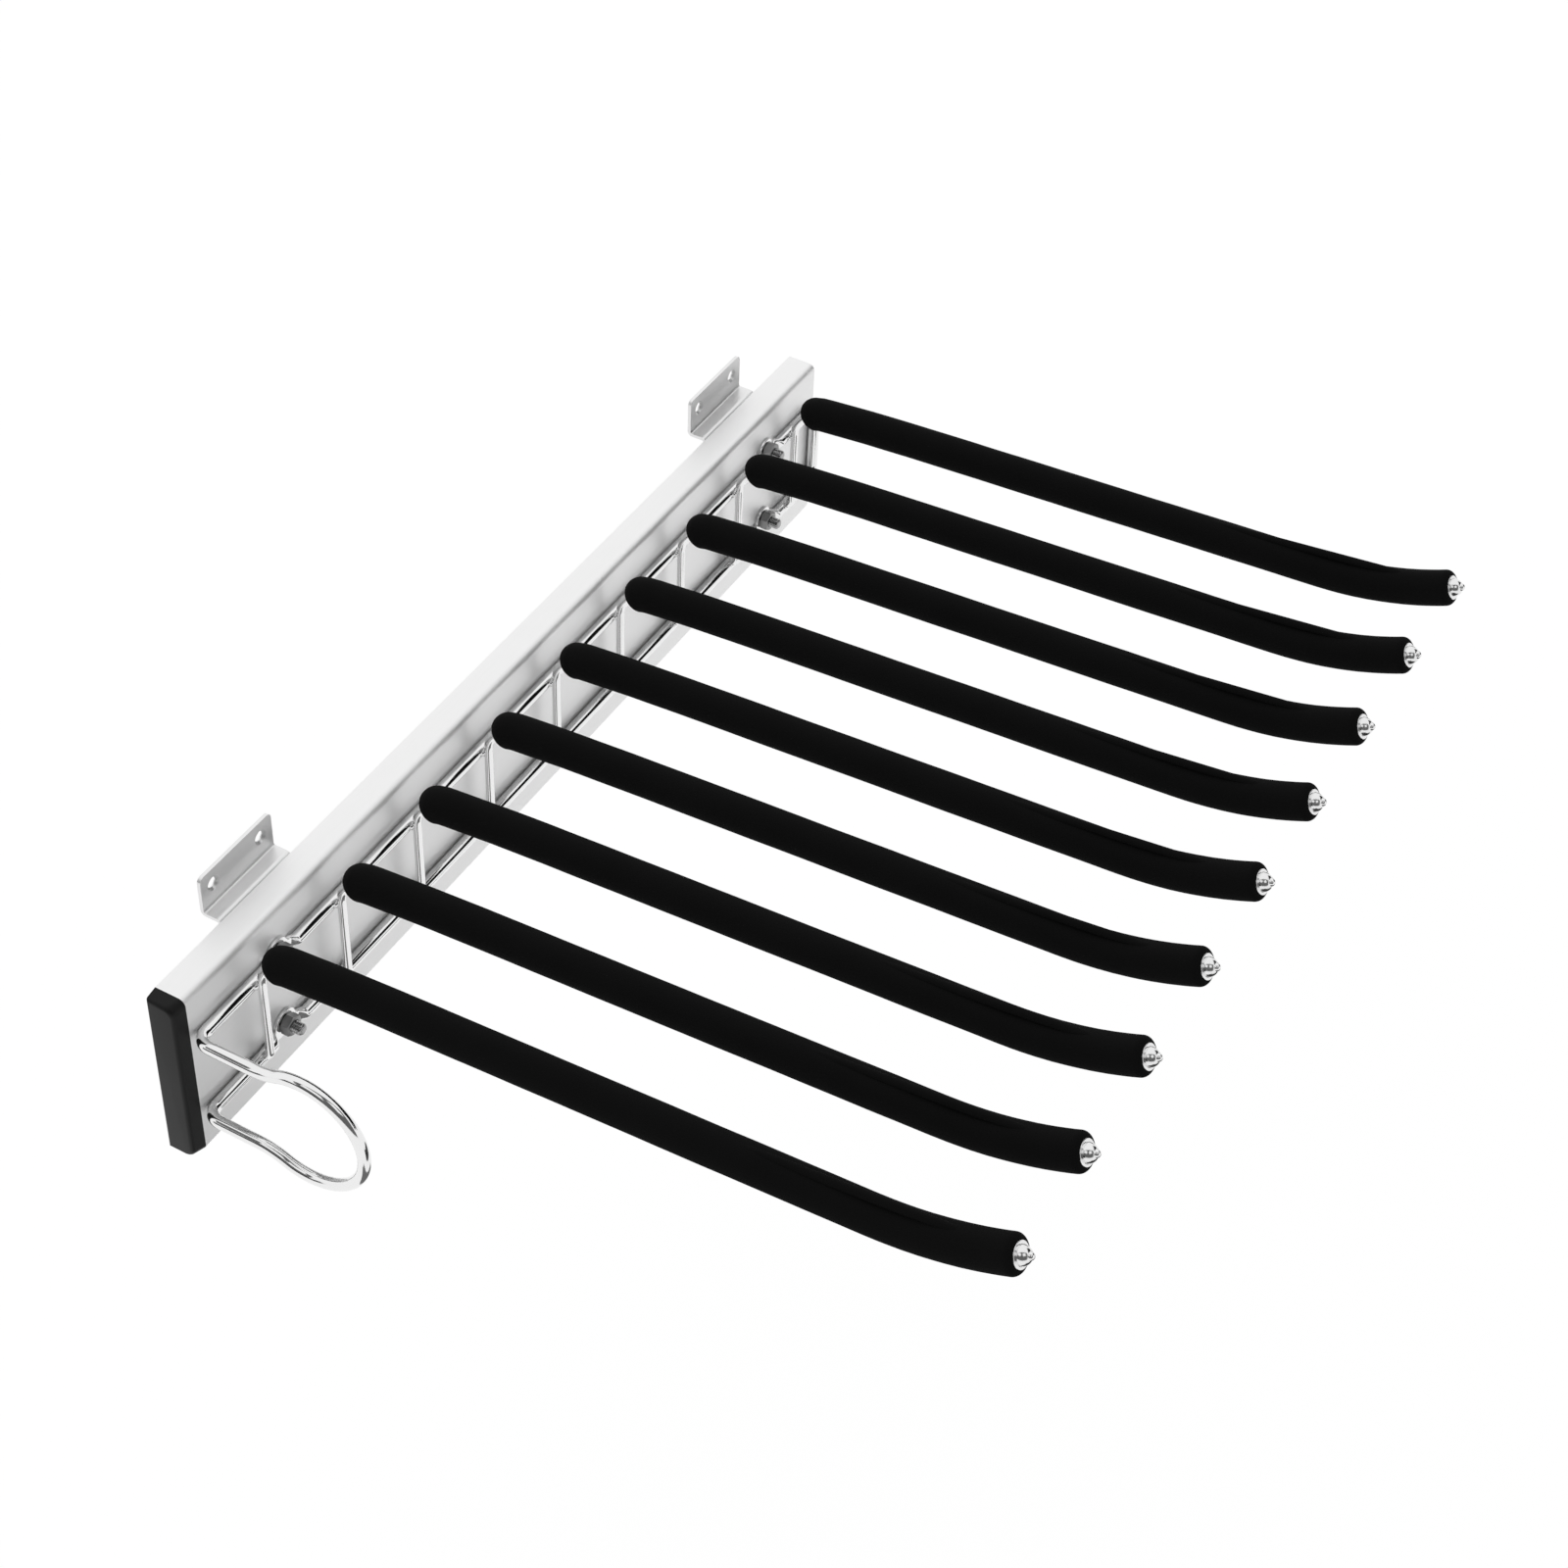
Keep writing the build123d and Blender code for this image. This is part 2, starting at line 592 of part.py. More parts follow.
def foam_sleeve(y):
    """Soft tube over an arm, rounded at both ends and recessed for the cap's flange."""
    tube = along(sleeve_line(y), Circle(SLEEVE_D / 2))
    ends = tube.faces().filter_by(GeomType.PLANE).sort_by(Axis.X)
    tube = fillet(ends[0].edges(), SLEEVE_WALL - SLEEVE_ROOT_FLAT)
    ends = tube.faces().filter_by(GeomType.PLANE).sort_by(Axis.X)
    tube = fillet(ends[-1].edges(), SLEEVE_TIP_ROUND)
    tube -= along(sleeve_line(y), Circle(ROD_D / 2))
    return tube - extrude(tip_plane(y) * Circle(TIP_FLANGE_D / 2 + TIP_SEAT_PLAY), -TIP_SEAT)


def tip_cap(y):
    """Turned stop: a flange in the sleeve's end, a round dome, and a small nub on top."""
    flange_top = TIP_FLANGE_H - TIP_SEAT
    dome_radius, nub_radius = TIP_DOME_D / 2, TIP_NUB_D / 2
    nub_centre = flange_top + dome_radius + TIP_NUB_H - nub_radius
    cap = Pos(0, 0, flange_top - TIP_FLANGE_H / 2) * Cylinder(TIP_FLANGE_D / 2, TIP_FLANGE_H)
    dome = Sphere(dome_radius, arc_size1=0, align=(Align.CENTER, Align.CENTER, Align.MIN))
    cap += Pos(0, 0, flange_top) * dome
    cap += Pos(0, 0, nub_centre) * Sphere(nub_radius)
    cap -= Pos(0, 0, -TIP_SEAT) * Cylinder(ROD_D / 2, 2 * TIP_SOCKET)
    return tip_plane(y).location * cap


# ================================================================ sub-parts
nodes = {
    "front_wall_bracket": wall_bracket(BRACKET_PLACES[0]),
    "rear_wall_bracket": wall_bracket(BRACKET_PLACES[1]),
    "bracket_rivets": bracket_rivets(),
    "slide_outer_member": slide_outer_member(),
    "slide_middle_member": slide_middle_member(),
    "slide_inner_member": slide_inner_member(),
    "outer_ball_retainers": ball_retainers(OUTER_ROW),
    "inner_ball_retainers": ball_retainers(INNER_ROW),
    "outer_slide_balls": slide_balls(OUTER_ROW),
    "inner_slide_balls": slide_balls(INNER_ROW),
    "outer_rear_buffer": rear_buffer(SLIDE_BACK, OUTER_HALF, OUTER_REAR),
    "middle_rear_buffer": rear_buffer(MIDDLE_BACK, MIDDLE_HALF, MIDDLE_REAR),
    "cover_profile": cover_profile(),
    "cover_rivets": cover_rivets(),
    "front_end_cap": front_end_cap(),
    "frame_wire": frame_wire(),
    "pull_handle": pull_handle(),
    "frame_bolts": frame_bolts(),
    "frame_nuts": frame_nuts(),
}
for number, place in enumerate(ARM_PLACES, start=1):
    nodes[f"arm_rod_{number}"] = arm_rod(place)
    nodes[f"foam_sleeve_{number}"] = foam_sleeve(place)
    nodes[f"tip_cap_{number}"] = tip_cap(place)

os.makedirs("parts", exist_ok=True)
for name, shape in nodes.items():
    solids = shape if isinstance(shape, list) else shape.solids()
    export_step(Compound(label=name, children=list(solids)), f"parts/{name}.step")
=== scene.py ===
import logging
import math
from abc import ABC, abstractmethod
from dataclasses import dataclass, field
from enum import Enum
from typing import Any, ClassVar, Sequence

import bmesh
import bpy
import numpy as np
from mathutils import Matrix, Vector


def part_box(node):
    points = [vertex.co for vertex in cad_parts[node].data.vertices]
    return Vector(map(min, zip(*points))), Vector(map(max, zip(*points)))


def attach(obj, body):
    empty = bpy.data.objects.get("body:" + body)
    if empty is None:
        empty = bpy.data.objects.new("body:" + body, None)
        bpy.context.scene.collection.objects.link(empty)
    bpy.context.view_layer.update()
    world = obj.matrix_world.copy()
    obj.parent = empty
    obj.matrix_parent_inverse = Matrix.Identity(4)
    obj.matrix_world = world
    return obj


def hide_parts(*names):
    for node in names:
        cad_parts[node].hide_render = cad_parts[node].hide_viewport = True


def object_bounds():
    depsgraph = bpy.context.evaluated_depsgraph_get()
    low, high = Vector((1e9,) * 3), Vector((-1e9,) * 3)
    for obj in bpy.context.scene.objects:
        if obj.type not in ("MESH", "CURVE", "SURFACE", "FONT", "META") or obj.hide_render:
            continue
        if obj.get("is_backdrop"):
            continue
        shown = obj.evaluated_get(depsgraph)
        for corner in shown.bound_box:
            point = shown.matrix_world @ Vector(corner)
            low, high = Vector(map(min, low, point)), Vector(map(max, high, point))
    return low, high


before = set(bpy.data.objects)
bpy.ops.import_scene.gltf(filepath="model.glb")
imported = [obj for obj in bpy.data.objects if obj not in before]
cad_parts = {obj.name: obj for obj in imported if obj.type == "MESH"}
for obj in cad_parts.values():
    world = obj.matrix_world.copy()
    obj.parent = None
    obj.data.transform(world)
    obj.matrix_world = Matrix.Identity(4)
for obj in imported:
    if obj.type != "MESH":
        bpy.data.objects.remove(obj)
log = logging.getLogger("trouser_rack")

MM = 0.001
X_AXIS, Y_AXIS, Z_AXIS = Vector((1, 0, 0)), Vector((0, 1, 0)), Vector((0, 0, 1))

MERGE_DISTANCE = 1e-7
FLAT_DISTANCE = 1e-8
SHARP_ANGLE = math.radians(38)

WIRE_DIAMETER = 5 * MM
BOLT_HEAD_DIAMETER = 9 * MM
PRESSED_SHEET = 1.5 * MM

Profile = list[tuple[float, float]]
Value = Any


class Body(Enum):
    """Bodies of the rack that pieces ride on."""

    WALL_SIDE = "wall_side"
    CARRIAGE = "carriage"
    MIDDLE_SLIDE = "middle_slide"
    OUTER_CAGE = "outer_cage"
    INNER_CAGE = "inner_cage"


class Grain(Enum):
    """Direction in which a metal was brushed or drawn, as noise scales along X, Y and Z."""

    NONE = (1.0, 1.0, 1.0)
    ALONG_DEPTH = (1.0, 0.02, 1.0)


# ------------------------------------------------------------------ node trees
@dataclass(frozen=True)
class Signal:
    """A number socket that works in Python expressions, each operator adding a Math node."""

    graph: "NodeGraph"
    socket: bpy.types.NodeSocket

    def __add__(self, other: Value) -> "Signal":
        """Sum with a number or a signal."""
        return self.graph.math("ADD", self, other)

    __radd__ = __add__

    def __mul__(self, other: Value) -> "Signal":
        """Product with a number or a signal."""
        return self.graph.math("MULTIPLY", self, other)

    __rmul__ = __mul__

    def __sub__(self, other: Value) -> "Signal":
        """Difference from a number or a signal."""
        return self.graph.math("SUBTRACT", self, other)

    def __rsub__(self, other: Value) -> "Signal":
        """A number less this signal."""
        return self.graph.math("SUBTRACT", other, self)

    def highest(self, other: Value) -> "Signal":
        """The larger of two values."""
        return self.graph.math("MAXIMUM", self, other)

    def lowest(self, other: Value) -> "Signal":
        """The smaller of two values."""
        return self.graph.math("MINIMUM", self, other)


@dataclass(frozen=True)
class NodeGraph:
    """Adds nodes to one shader or geometry tree."""

    tree: bpy.types.NodeTree

    def node(self, kind: str, settings: dict[str, Value] | None = None,
             sockets: dict[str | int, Value] | None = None) -> bpy.types.Node:
        """Adds a node, sets its settings and then its sockets.

        Args:
            kind: the node's type name.
            settings: properties of the node.
            sockets: input name or number to a value, a socket or a signal.

        Returns:
            The new node.
        """
        made = self.tree.nodes.new(kind)
        for name, value in (settings or {}).items():
            setattr(made, name, value)
        for name, value in (sockets or {}).items():
            self.feed(made.inputs[name], value)
        return made

    def feed(self, target: bpy.types.NodeSocket, value: Value) -> None:
        """Links a socket or a signal to an input, or sets its value.

        Args:
            target: the input.
            value: a socket, a signal or a plain value.
        """
        source = value.socket if isinstance(value, Signal) else value
        if isinstance(source, bpy.types.NodeSocket):
            self.tree.links.new(source, target)
        else:
            target.default_value = source

    def signal(self, socket: bpy.types.NodeSocket) -> Signal:
        """Wraps a number socket for use in expressions."""
        return Signal(self, socket)

    def math(self, operation: str, first: Value, second: Value) -> Signal:
        """Adds one Math node and returns its result."""
        made = self.node("ShaderNodeMath", {"operation": operation}, {0: first, 1: second})
        return self.signal(made.outputs[0])

    def vector(self, operation: str, first: Value, second: Value) -> bpy.types.NodeSocket:
        """Adds one Vector Math node and returns its vector."""
        sockets = {0: first, 3 if operation == "SCALE" else 1: second}
        return self.node("ShaderNodeVectorMath", {"operation": operation}, sockets).outputs[0]


@dataclass(frozen=True)
class ShaderGraph(NodeGraph):
    """Adds the nodes that finishes share."""

    @classmethod
    def emptied(cls, owner: bpy.types.ID) -> "ShaderGraph":
        """Empties the node tree of a material or a world.

        Args:
            owner: the material or the world.

        Returns:
            Its graph, without nodes.
        """
        owner.use_nodes = True
        owner.node_tree.nodes.clear()
        return cls(owner.node_tree)

    def place(self, scales: Sequence[float] = (1, 1, 1)) -> bpy.types.NodeSocket:
        """Object coordinates, stretched by three scales."""
        coordinates = self.node("ShaderNodeTexCoord").outputs["Object"]
        return self.vector("MULTIPLY", coordinates, tuple(scales))

    def noise(self, size: float, detail: float = 2.0, scales: Sequence[float] = (1, 1, 1)) -> Signal:
        """Noise of one grain size.

        Args:
            size: the grain's size in metres.
            detail: octaves of finer noise on it.
            scales: stretch of the grain along X, Y and Z.

        Returns:
            The noise, from 0 to 1 and mostly near a half.
        """
        made = self.node("ShaderNodeTexNoise", {"noise_dimensions": "3D"},
                         {"Vector": self.place(scales), "Scale": 1 / size, "Detail": detail})
        return self.signal(made.outputs["Fac"])

    def tint(self, share: Value, low: float, high: float) -> bpy.types.NodeSocket:
        """Mixes two greys as colours.

        Args:
            share: the higher grey's share, from 0 to 1.
            low: the lower grey.
            high: the higher grey.

        Returns:
            The mixed colour's socket.
        """
        made = self.node("ShaderNodeMix", {"data_type": "RGBA", "clamp_factor": True},
                         {0: share, 6: (low, low, low, 1), 7: (high, high, high, 1)})
        return made.outputs[2]

    def bump(self, height: Signal, depth: float, strength: float) -> bpy.types.NodeSocket:
        """Turns a height from 0 to 1 into a normal.

        Args:
            height: the height signal.
            depth: metres between the lowest and highest point.
            strength: how much of the slope shows.

        Returns:
            The normal socket.
        """
        made = self.node("ShaderNodeBump", None, {"Height": height, "Distance": depth, "Strength": strength})
        return made.outputs["Normal"]

    def seen_directly(self) -> Signal:
        """Tells the rays that see a thing from the light that falls on others.

        Returns:
            1 for camera, glossy and transmission rays, and 0 for all other rays.
        """
        path = self.node("ShaderNodeLightPath").outputs
        camera = self.signal(path["Is Camera Ray"])
        return camera.highest(path["Is Glossy Ray"]).highest(path["Is Transmission Ray"])


# ------------------------------------------------------------------ finishes
@dataclass(frozen=True)
class Finish(ABC):
    """One surface finish, made once as a material."""

    name: str

    _made: ClassVar[dict[str, bpy.types.Material]] = {}

    def material(self) -> bpy.types.Material:
        """Makes the finish's material at its first use.

        Returns:
            The material.
        """
        if self.name not in self._made:
            made = bpy.data.materials.new(self.name)
            graph = ShaderGraph.emptied(made)
            shader = graph.node("ShaderNodeBsdfPrincipled")
            graph.node("ShaderNodeOutputMaterial", None, {"Surface": shader.outputs["BSDF"]})
            self.dress(graph, shader)
            self._made[self.name] = made
        return self._made[self.name]

    @staticmethod
    def set_shader(graph: ShaderGraph, shader: bpy.types.Node, **sockets: Value) -> None:
        """Sets the shader's sockets, whose names are given with underscores."""
        for name, value in sockets.items():
            graph.feed(shader.inputs[name.replace("_", " ").replace("ior", "IOR")], value)

    @abstractmethod
    def dress(self, graph: ShaderGraph, shader: bpy.types.Node) -> None:
        """Adds the finish's nodes and feeds the shader.

        Args:
            graph: the material's graph.
            shader: its Principled shader.
        """


@dataclass(frozen=True)
class MetalFinish(Finish):
    """Plated or bare metal with a grain, faint smudges and a fine waviness."""

    grey: float = 0.85
    roughness: float = 0.05
    smudge: float = 0.04
    smudge_size: float = 9 * MM
    grain: Grain = Grain.NONE
    grain_size: float = 0.35 * MM
    grain_depth: float = 0.004 * MM
    wave_size: float = 7 * MM
    wave_depth: float = 0.003 * MM
    mottle: float = 0.03

    def dress(self, graph: ShaderGraph, shader: bpy.types.Node) -> None:
        """Adds smudges, grain and waves and feeds the shader.

        Args:
            graph: the material's graph.
            shader: its Principled shader.
        """
        smudges = graph.noise(self.smudge_size, detail=3.0)
        lines = graph.noise(self.grain_size, detail=3.0, scales=self.grain.value)
        waves = graph.noise(self.wave_size, detail=1.0)
        height = lines * self.grain_depth + waves * self.wave_depth
        dull, clear = self.grey * (1 - self.mottle), self.grey * (1 + self.mottle)
        self.set_shader(
            graph, shader,
            Base_Color=graph.tint(lines * 0.5 + smudges * 0.5, dull, clear),
            Metallic=1.0,
            Roughness=smudges * self.smudge + lines * (self.smudge / 2) + (self.roughness - self.smudge / 2),
            Normal=graph.bump(height, 1.0, 1.0),
        )


@dataclass(frozen=True)
class SatinFinish(Finish):
    """Satin anodised aluminium: fine draw lines along the profile and a soft even sheen."""

    grey: float = 0.94
    roughness: float = 0.54
    line_size: float = 0.22 * MM
    line_depth: float = 0.0015 * MM
    line_share: float = 0.6
    cloud_size: float = 32 * MM
    darker: float = 0.05
    lighter: float = 0.02
    unevenness: float = 0.05

    def dress(self, graph: ShaderGraph, shader: bpy.types.Node) -> None:
        """Adds the draw lines and clouds and feeds the shader.

        Args:
            graph: the material's graph.
            shader: its Principled shader.
        """
        lines = graph.noise(self.line_size, scales=Grain.ALONG_DEPTH.value)
        clouds = graph.noise(self.cloud_size, detail=3.0)
        low, high = self.grey - self.darker, self.grey + self.lighter
        tone = lines * self.line_share + clouds * (1 - self.line_share)
        self.set_shader(
            graph, shader,
            Base_Color=graph.tint(tone, low, high),
            Metallic=1.0,
            Roughness=lines * self.unevenness + clouds * self.unevenness + (self.roughness - self.unevenness),
            Normal=graph.bump(lines * self.line_depth, 1.0, 1.0),
        )


@dataclass(frozen=True)
class FoamFinish(Finish):
    """Closed-cell foam with a matt skin, fine pores and a little dust."""

    skin: float = 0.0036
    dust: float = 0.0064
    pore_size: float = 0.55 * MM
    cell_size: float = 1.3 * MM
    pore_depth: float = 0.05 * MM
    pore_share: float = 0.6
    cloud_size: float = 22 * MM
    cloud_share: float = 0.6
    roughness: float = 0.72
    unevenness: float = 0.2
    specular: float = 0.06
    relief: float = 0.6

    def dress(self, graph: ShaderGraph, shader: bpy.types.Node) -> None:
        """Adds pores, cells and dust and feeds the shader.

        Args:
            graph: the material's graph.
            shader: its Principled shader.
        """
        pores = graph.noise(self.pore_size, detail=3.0)
        clouds = graph.noise(self.cloud_size)
        cells = graph.node("ShaderNodeTexVoronoi", {"feature": "F1"},
                           {"Vector": graph.place(), "Scale": 1 / self.cell_size})
        height = pores * self.pore_share + graph.signal(cells.outputs["Distance"]) * (1 - self.pore_share)
        tone = clouds * self.cloud_share + pores * (1 - self.cloud_share)
        self.set_shader(
            graph, shader,
            Base_Color=graph.tint(tone, self.skin, self.dust),
            Roughness=pores * self.unevenness + self.roughness,
            Specular_ior_Level=self.specular,
            Normal=graph.bump(height, self.pore_depth, self.relief),
        )


@dataclass(frozen=True)
class MouldedFinish(Finish):
    """Moulded plastic or rubber with a fine spark-eroded texture."""

    grey: float = 0.016
    roughness: float = 0.42
    specular: float = 0.4
    texture_size: float = 0.16 * MM
    texture_depth: float = 0.012 * MM
    relief: float = 0.5
    cloud_size: float = 18 * MM
    mottle: float = 0.15
    cloud_unevenness: float = 0.08
    texture_unevenness: float = 0.06

    def dress(self, graph: ShaderGraph, shader: bpy.types.Node) -> None:
        """Adds the texture and flow clouds and feeds the shader.

        Args:
            graph: the material's graph.
            shader: its Principled shader.
        """
        texture = graph.noise(self.texture_size)
        clouds = graph.noise(self.cloud_size)
        low, high = self.grey * (1 - self.mottle), self.grey * (1 + self.mottle)
        evened = self.roughness - (self.cloud_unevenness + self.texture_unevenness) / 2
        self.set_shader(
            graph, shader,
            Base_Color=graph.tint(clouds, low, high),
            Roughness=clouds * self.cloud_unevenness + texture * self.texture_unevenness + evened,
            Specular_ior_Level=self.specular,
            Normal=graph.bump(texture, self.texture_depth, self.relief),
        )


CHROME = MetalFinish("polished_chrome", grey=0.84, roughness=0.09, smudge=0.05, grain_depth=0.0005 * MM)
NICKEL = MetalFinish("bright_nickel", grey=0.82, roughness=0.16, smudge=0.05, smudge_size=3 * MM,
                     grain_depth=0.001 * MM)
BOLT_STEEL = MetalFinish("bolt_zinc", grey=0.34, roughness=0.2, smudge=0.12, smudge_size=2 * MM)
NUT_STEEL = MetalFinish("nut_dark_zinc", grey=0.26, roughness=0.3, smudge=0.16, smudge_size=2.5 * MM,
                        mottle=0.12)
ZINC_BRACKET = MetalFinish("bracket_zinc", grey=0.84, roughness=0.36, smudge=0.1, smudge_size=14 * MM,
                           grain=Grain.ALONG_DEPTH, grain_depth=0.002 * MM, mottle=0.06)
ZINC_SLIDE = MetalFinish("slide_zinc", grey=0.55, roughness=0.26, smudge=0.16, smudge_size=18 * MM,
                         grain=Grain.ALONG_DEPTH, mottle=0.14)
RETAINER_STEEL = MetalFinish("retainer_strip_steel", grey=0.5, roughness=0.34, smudge=0.12, mottle=0.08)
BALL_STEEL = MetalFinish("ball_steel_polish", grey=0.72, roughness=0.08, smudge=0.05, smudge_size=2 * MM)
SATIN_COVER = SatinFinish("satin_anodised_cover")
BLACK_FOAM = FoamFinish("matt_black_foam")
CAP_PLASTIC = MouldedFinish("cap_black_plastic", grey=0.007, specular=0.2)
BUFFER_RUBBER = MouldedFinish("buffer_black_rubber", grey=0.012, roughness=0.7, specular=0.25,
                              texture_size=0.4 * MM)


# ------------------------------------------------------------------ mesh making
@dataclass
class Route:
    """Centre line of a bent wire: straight runs and tangent bends, drawn as points."""

    place: Vector
    way: Vector
    run_step: float = 6 * MM
    bend_step: float = math.radians(3)
    points: list[Vector] = field(default_factory=list)

    def __post_init__(self) -> None:
        """Starts the line at its first point."""
        self.points.append(self.place.copy())

    def run(self, length: float, step: float | None = None) -> "Route":
        """Goes straight on.

        Args:
            length: how far.
            step: the longest distance between two points, or None for the usual one.

        Returns:
            The route itself.
        """
        count = max(1, round(length / (step or self.run_step)))
        start = self.place.copy()
        for index in range(1, count + 1):
            self.points.append(start + self.way * (length * index / count))
        self.place = self.points[-1].copy()
        return self

    def bend(self, radius: float, turn: float, axis: Vector) -> "Route":
        """Follows an arc.

        Args:
            radius: the bend's radius in metres.
            turn: degrees turned, right-handed about the axis.
            axis: unit vector across the bend's plane.

        Returns:
            The route itself.
        """
        angle = math.radians(turn)
        centre = self.place + axis.cross(self.way) * math.copysign(radius, turn)
        arm, way = self.place - centre, self.way.copy()
        count = max(2, math.ceil(abs(angle) / self.bend_step))
        for index in range(1, count + 1):
            turned = Matrix.Rotation(angle * index / count, 3, axis)
            self.points.append(centre + turned @ arm)
        self.place = self.points[-1].copy()
        self.way = turned @ way
        return self

    def length(self) -> float:
        """Length of the drawn line."""
        return sum((b - a).length for a, b in zip(self.points, self.points[1:]))

    def curve(self) -> bpy.types.Object:
        """Draws the line as a poly curve.

        Returns:
            The curve's object.
        """
        data = bpy.data.curves.new("route", "CURVE")
        data.dimensions = "3D"
        spline = data.splines.new("POLY")
        spline.points.add(len(self.points) - 1)
        spline.points.foreach_set("co", [n for point in self.points for n in (*point, 1.0)])
        return linked(bpy.data.objects.new("route", data))


def linked(item: bpy.types.Object) -> bpy.types.Object:
    """Links an object to the scene and returns it."""
    bpy.context.scene.collection.objects.link(item)
    return item


def arc(centre: tuple[float, float], radius: float, start: float, end: float, steps: int) -> Profile:
    """Points on a round stretch of a profile.

    Args:
        centre: the arc's centre as (along, radius).
        radius: the arc's radius.
        start: first angle in degrees, from the along direction towards larger radius.
        end: last angle in degrees.
        steps: number of steps between them.

    Returns:
        The points, both ends included.
    """
    angles = np.radians(np.linspace(start, end, steps + 1))
    return [(centre[0] + radius * math.cos(a), centre[1] + radius * math.sin(a)) for a in angles]


def grid_mesh(name: str, rings: np.ndarray, closed: bool) -> bpy.types.Mesh:
    """Joins rings of points into a smooth skin with closed ends.

    Args:
        name: the mesh's name.
        rings: array of rings, each as many points in space.
        closed: True joins the last ring to the first, False fills both ends.

    Returns:
        The mesh, its doubles merged and its normals outwards.
    """
    count, sides, _ = rings.shape
    faces = []
    for ring in range(count if closed else count - 1):
        here, there = ring * sides, (ring + 1) % count * sides
        for side in range(sides):
            after = (side + 1) % sides
            faces.append((here + side, there + side, there + after, here + after))
    if not closed:
        faces.append(tuple(range(sides)))
        faces.append(tuple(range((count - 1) * sides, count * sides))[::-1])
    mesh = bpy.data.meshes.new(name)
    mesh.from_pydata(rings.reshape(-1, 3).tolist(), [], faces)
    return cleaned(mesh)


def smoothed(mesh: bpy.types.Mesh) -> None:
    """Smooths all but a mesh's sharp edges."""
    mesh.shade_smooth()
    mesh.set_sharp_from_angle(angle=SHARP_ANGLE)


def cleaned(mesh: bpy.types.Mesh) -> bpy.types.Mesh:
    """Merges doubles, turns faces outwards, and smooths all but sharp edges.

    Args:
        mesh: the mesh to clean.

    Returns:
        The same mesh.
    """
    work = bmesh.new()
    work.from_mesh(mesh)
    bmesh.ops.remove_doubles(work, verts=work.verts, dist=MERGE_DISTANCE)
    bmesh.ops.dissolve_degenerate(work, edges=work.edges, dist=FLAT_DISTANCE)
    bmesh.ops.recalc_face_normals(work, faces=work.faces)
    work.to_mesh(mesh)
    work.free()
    smoothed(mesh)
    return mesh


def lathe(name: str, profile: Profile, sides: int, closed: bool = False) -> bpy.types.Object:
    """Turns a profile about the X axis.

    Args:
        name: the object's name.
        profile: the (along, radius) points.
        sides: points round the axis.
        closed: True where the profile's last point joins its first.

    Returns:
        The turned object.
    """
    angles = np.linspace(0, 2 * math.pi, sides, endpoint=False)
    ring = np.stack([np.zeros(sides), np.cos(angles), np.sin(angles)], axis=1)
    rings = np.array([(0, radius, radius) * ring + (along, 0, 0) for along, radius in profile])
    return linked(bpy.data.objects.new(name, grid_mesh(name, rings, closed)))


def joined_with(item: bpy.types.Object, meshes: Sequence[bpy.types.Mesh]) -> None:
    """Adds meshes to an object's own mesh.

    Args:
        item: the object.
        meshes: the meshes to add.
    """
    work = bmesh.new()
    for mesh in (item.data, *meshes):
        work.from_mesh(mesh)
    work.to_mesh(item.data)
    work.free()
    smoothed(item.data)


def moved(item: bpy.types.Object, matrix: Matrix) -> bpy.types.Object:
    """Moves an object's mesh, so that the object itself stays at the origin."""
    item.data.transform(matrix)
    return item


# ------------------------------------------------------------------ geometry trees
class GeometryTool(ABC):
    """A geometry tree with named inputs, whose result is kept as a plain mesh."""

    name: ClassVar[str]
    inputs: ClassVar[dict[str, str]]

    def __init__(self) -> None:
        """Makes the tree with its inputs, its body and its last two nodes."""
        self.tree = bpy.data.node_groups.new(self.name, "GeometryNodeTree")
        self.tree.interface.new_socket("Geometry", in_out="INPUT", socket_type="NodeSocketGeometry")
        for name, kind in {**self.inputs, "Finish": "NodeSocketMaterial"}.items():
            self.tree.interface.new_socket(name, in_out="INPUT", socket_type=kind)
        self.tree.interface.new_socket("Geometry", in_out="OUTPUT", socket_type="NodeSocketGeometry")
        graph = NodeGraph(self.tree)
        given = graph.node("NodeGroupInput").outputs
        shaped = self.shape(graph, given)
        whole = graph.node("GeometryNodeRealizeInstances", None, {"Geometry": shaped})
        dressed = graph.node("GeometryNodeSetMaterial", None,
                             {"Geometry": whole.outputs[0], "Material": given["Finish"]})
        graph.node("NodeGroupOutput", None, {"Geometry": dressed.outputs[0]})

    @abstractmethod
    def shape(self, graph: NodeGraph, given: Value) -> bpy.types.NodeSocket:
        """Adds the tree's own nodes.

        Args:
            graph: the tree's graph.
            given: the outputs of its Group Input node.

        Returns:
            The geometry that the nodes make.
        """

    def make(self, name: str, source: bpy.types.Object, **values: Value) -> bpy.types.Object:
        """Runs the tree on an object and keeps the result as a plain mesh.

        Args:
            name: the new piece's name.
            source: the object that the tree reads, which is removed afterwards.
            **values: the named inputs, with underscores for spaces.

        Returns:
            The new object, at the origin.
        """
        modifier = source.modifiers.new(self.name, "NODES")
        modifier.node_group = self.tree
        for item in self.tree.interface.items_tree:
            key = item.name.replace(" ", "_")
            if item.in_out == "INPUT" and key in values:
                modifier[item.identifier] = values[key]
        depsgraph = bpy.context.evaluated_depsgraph_get()
        mesh = bpy.data.meshes.new_from_object(source.evaluated_get(depsgraph), depsgraph=depsgraph)
        source.modifiers.remove(modifier)
        for item in (source, *[v for v in values.values() if isinstance(v, bpy.types.Object)]):
            bpy.data.objects.remove(item)
        mesh.name = name
        return linked(bpy.data.objects.new(name, mesh))


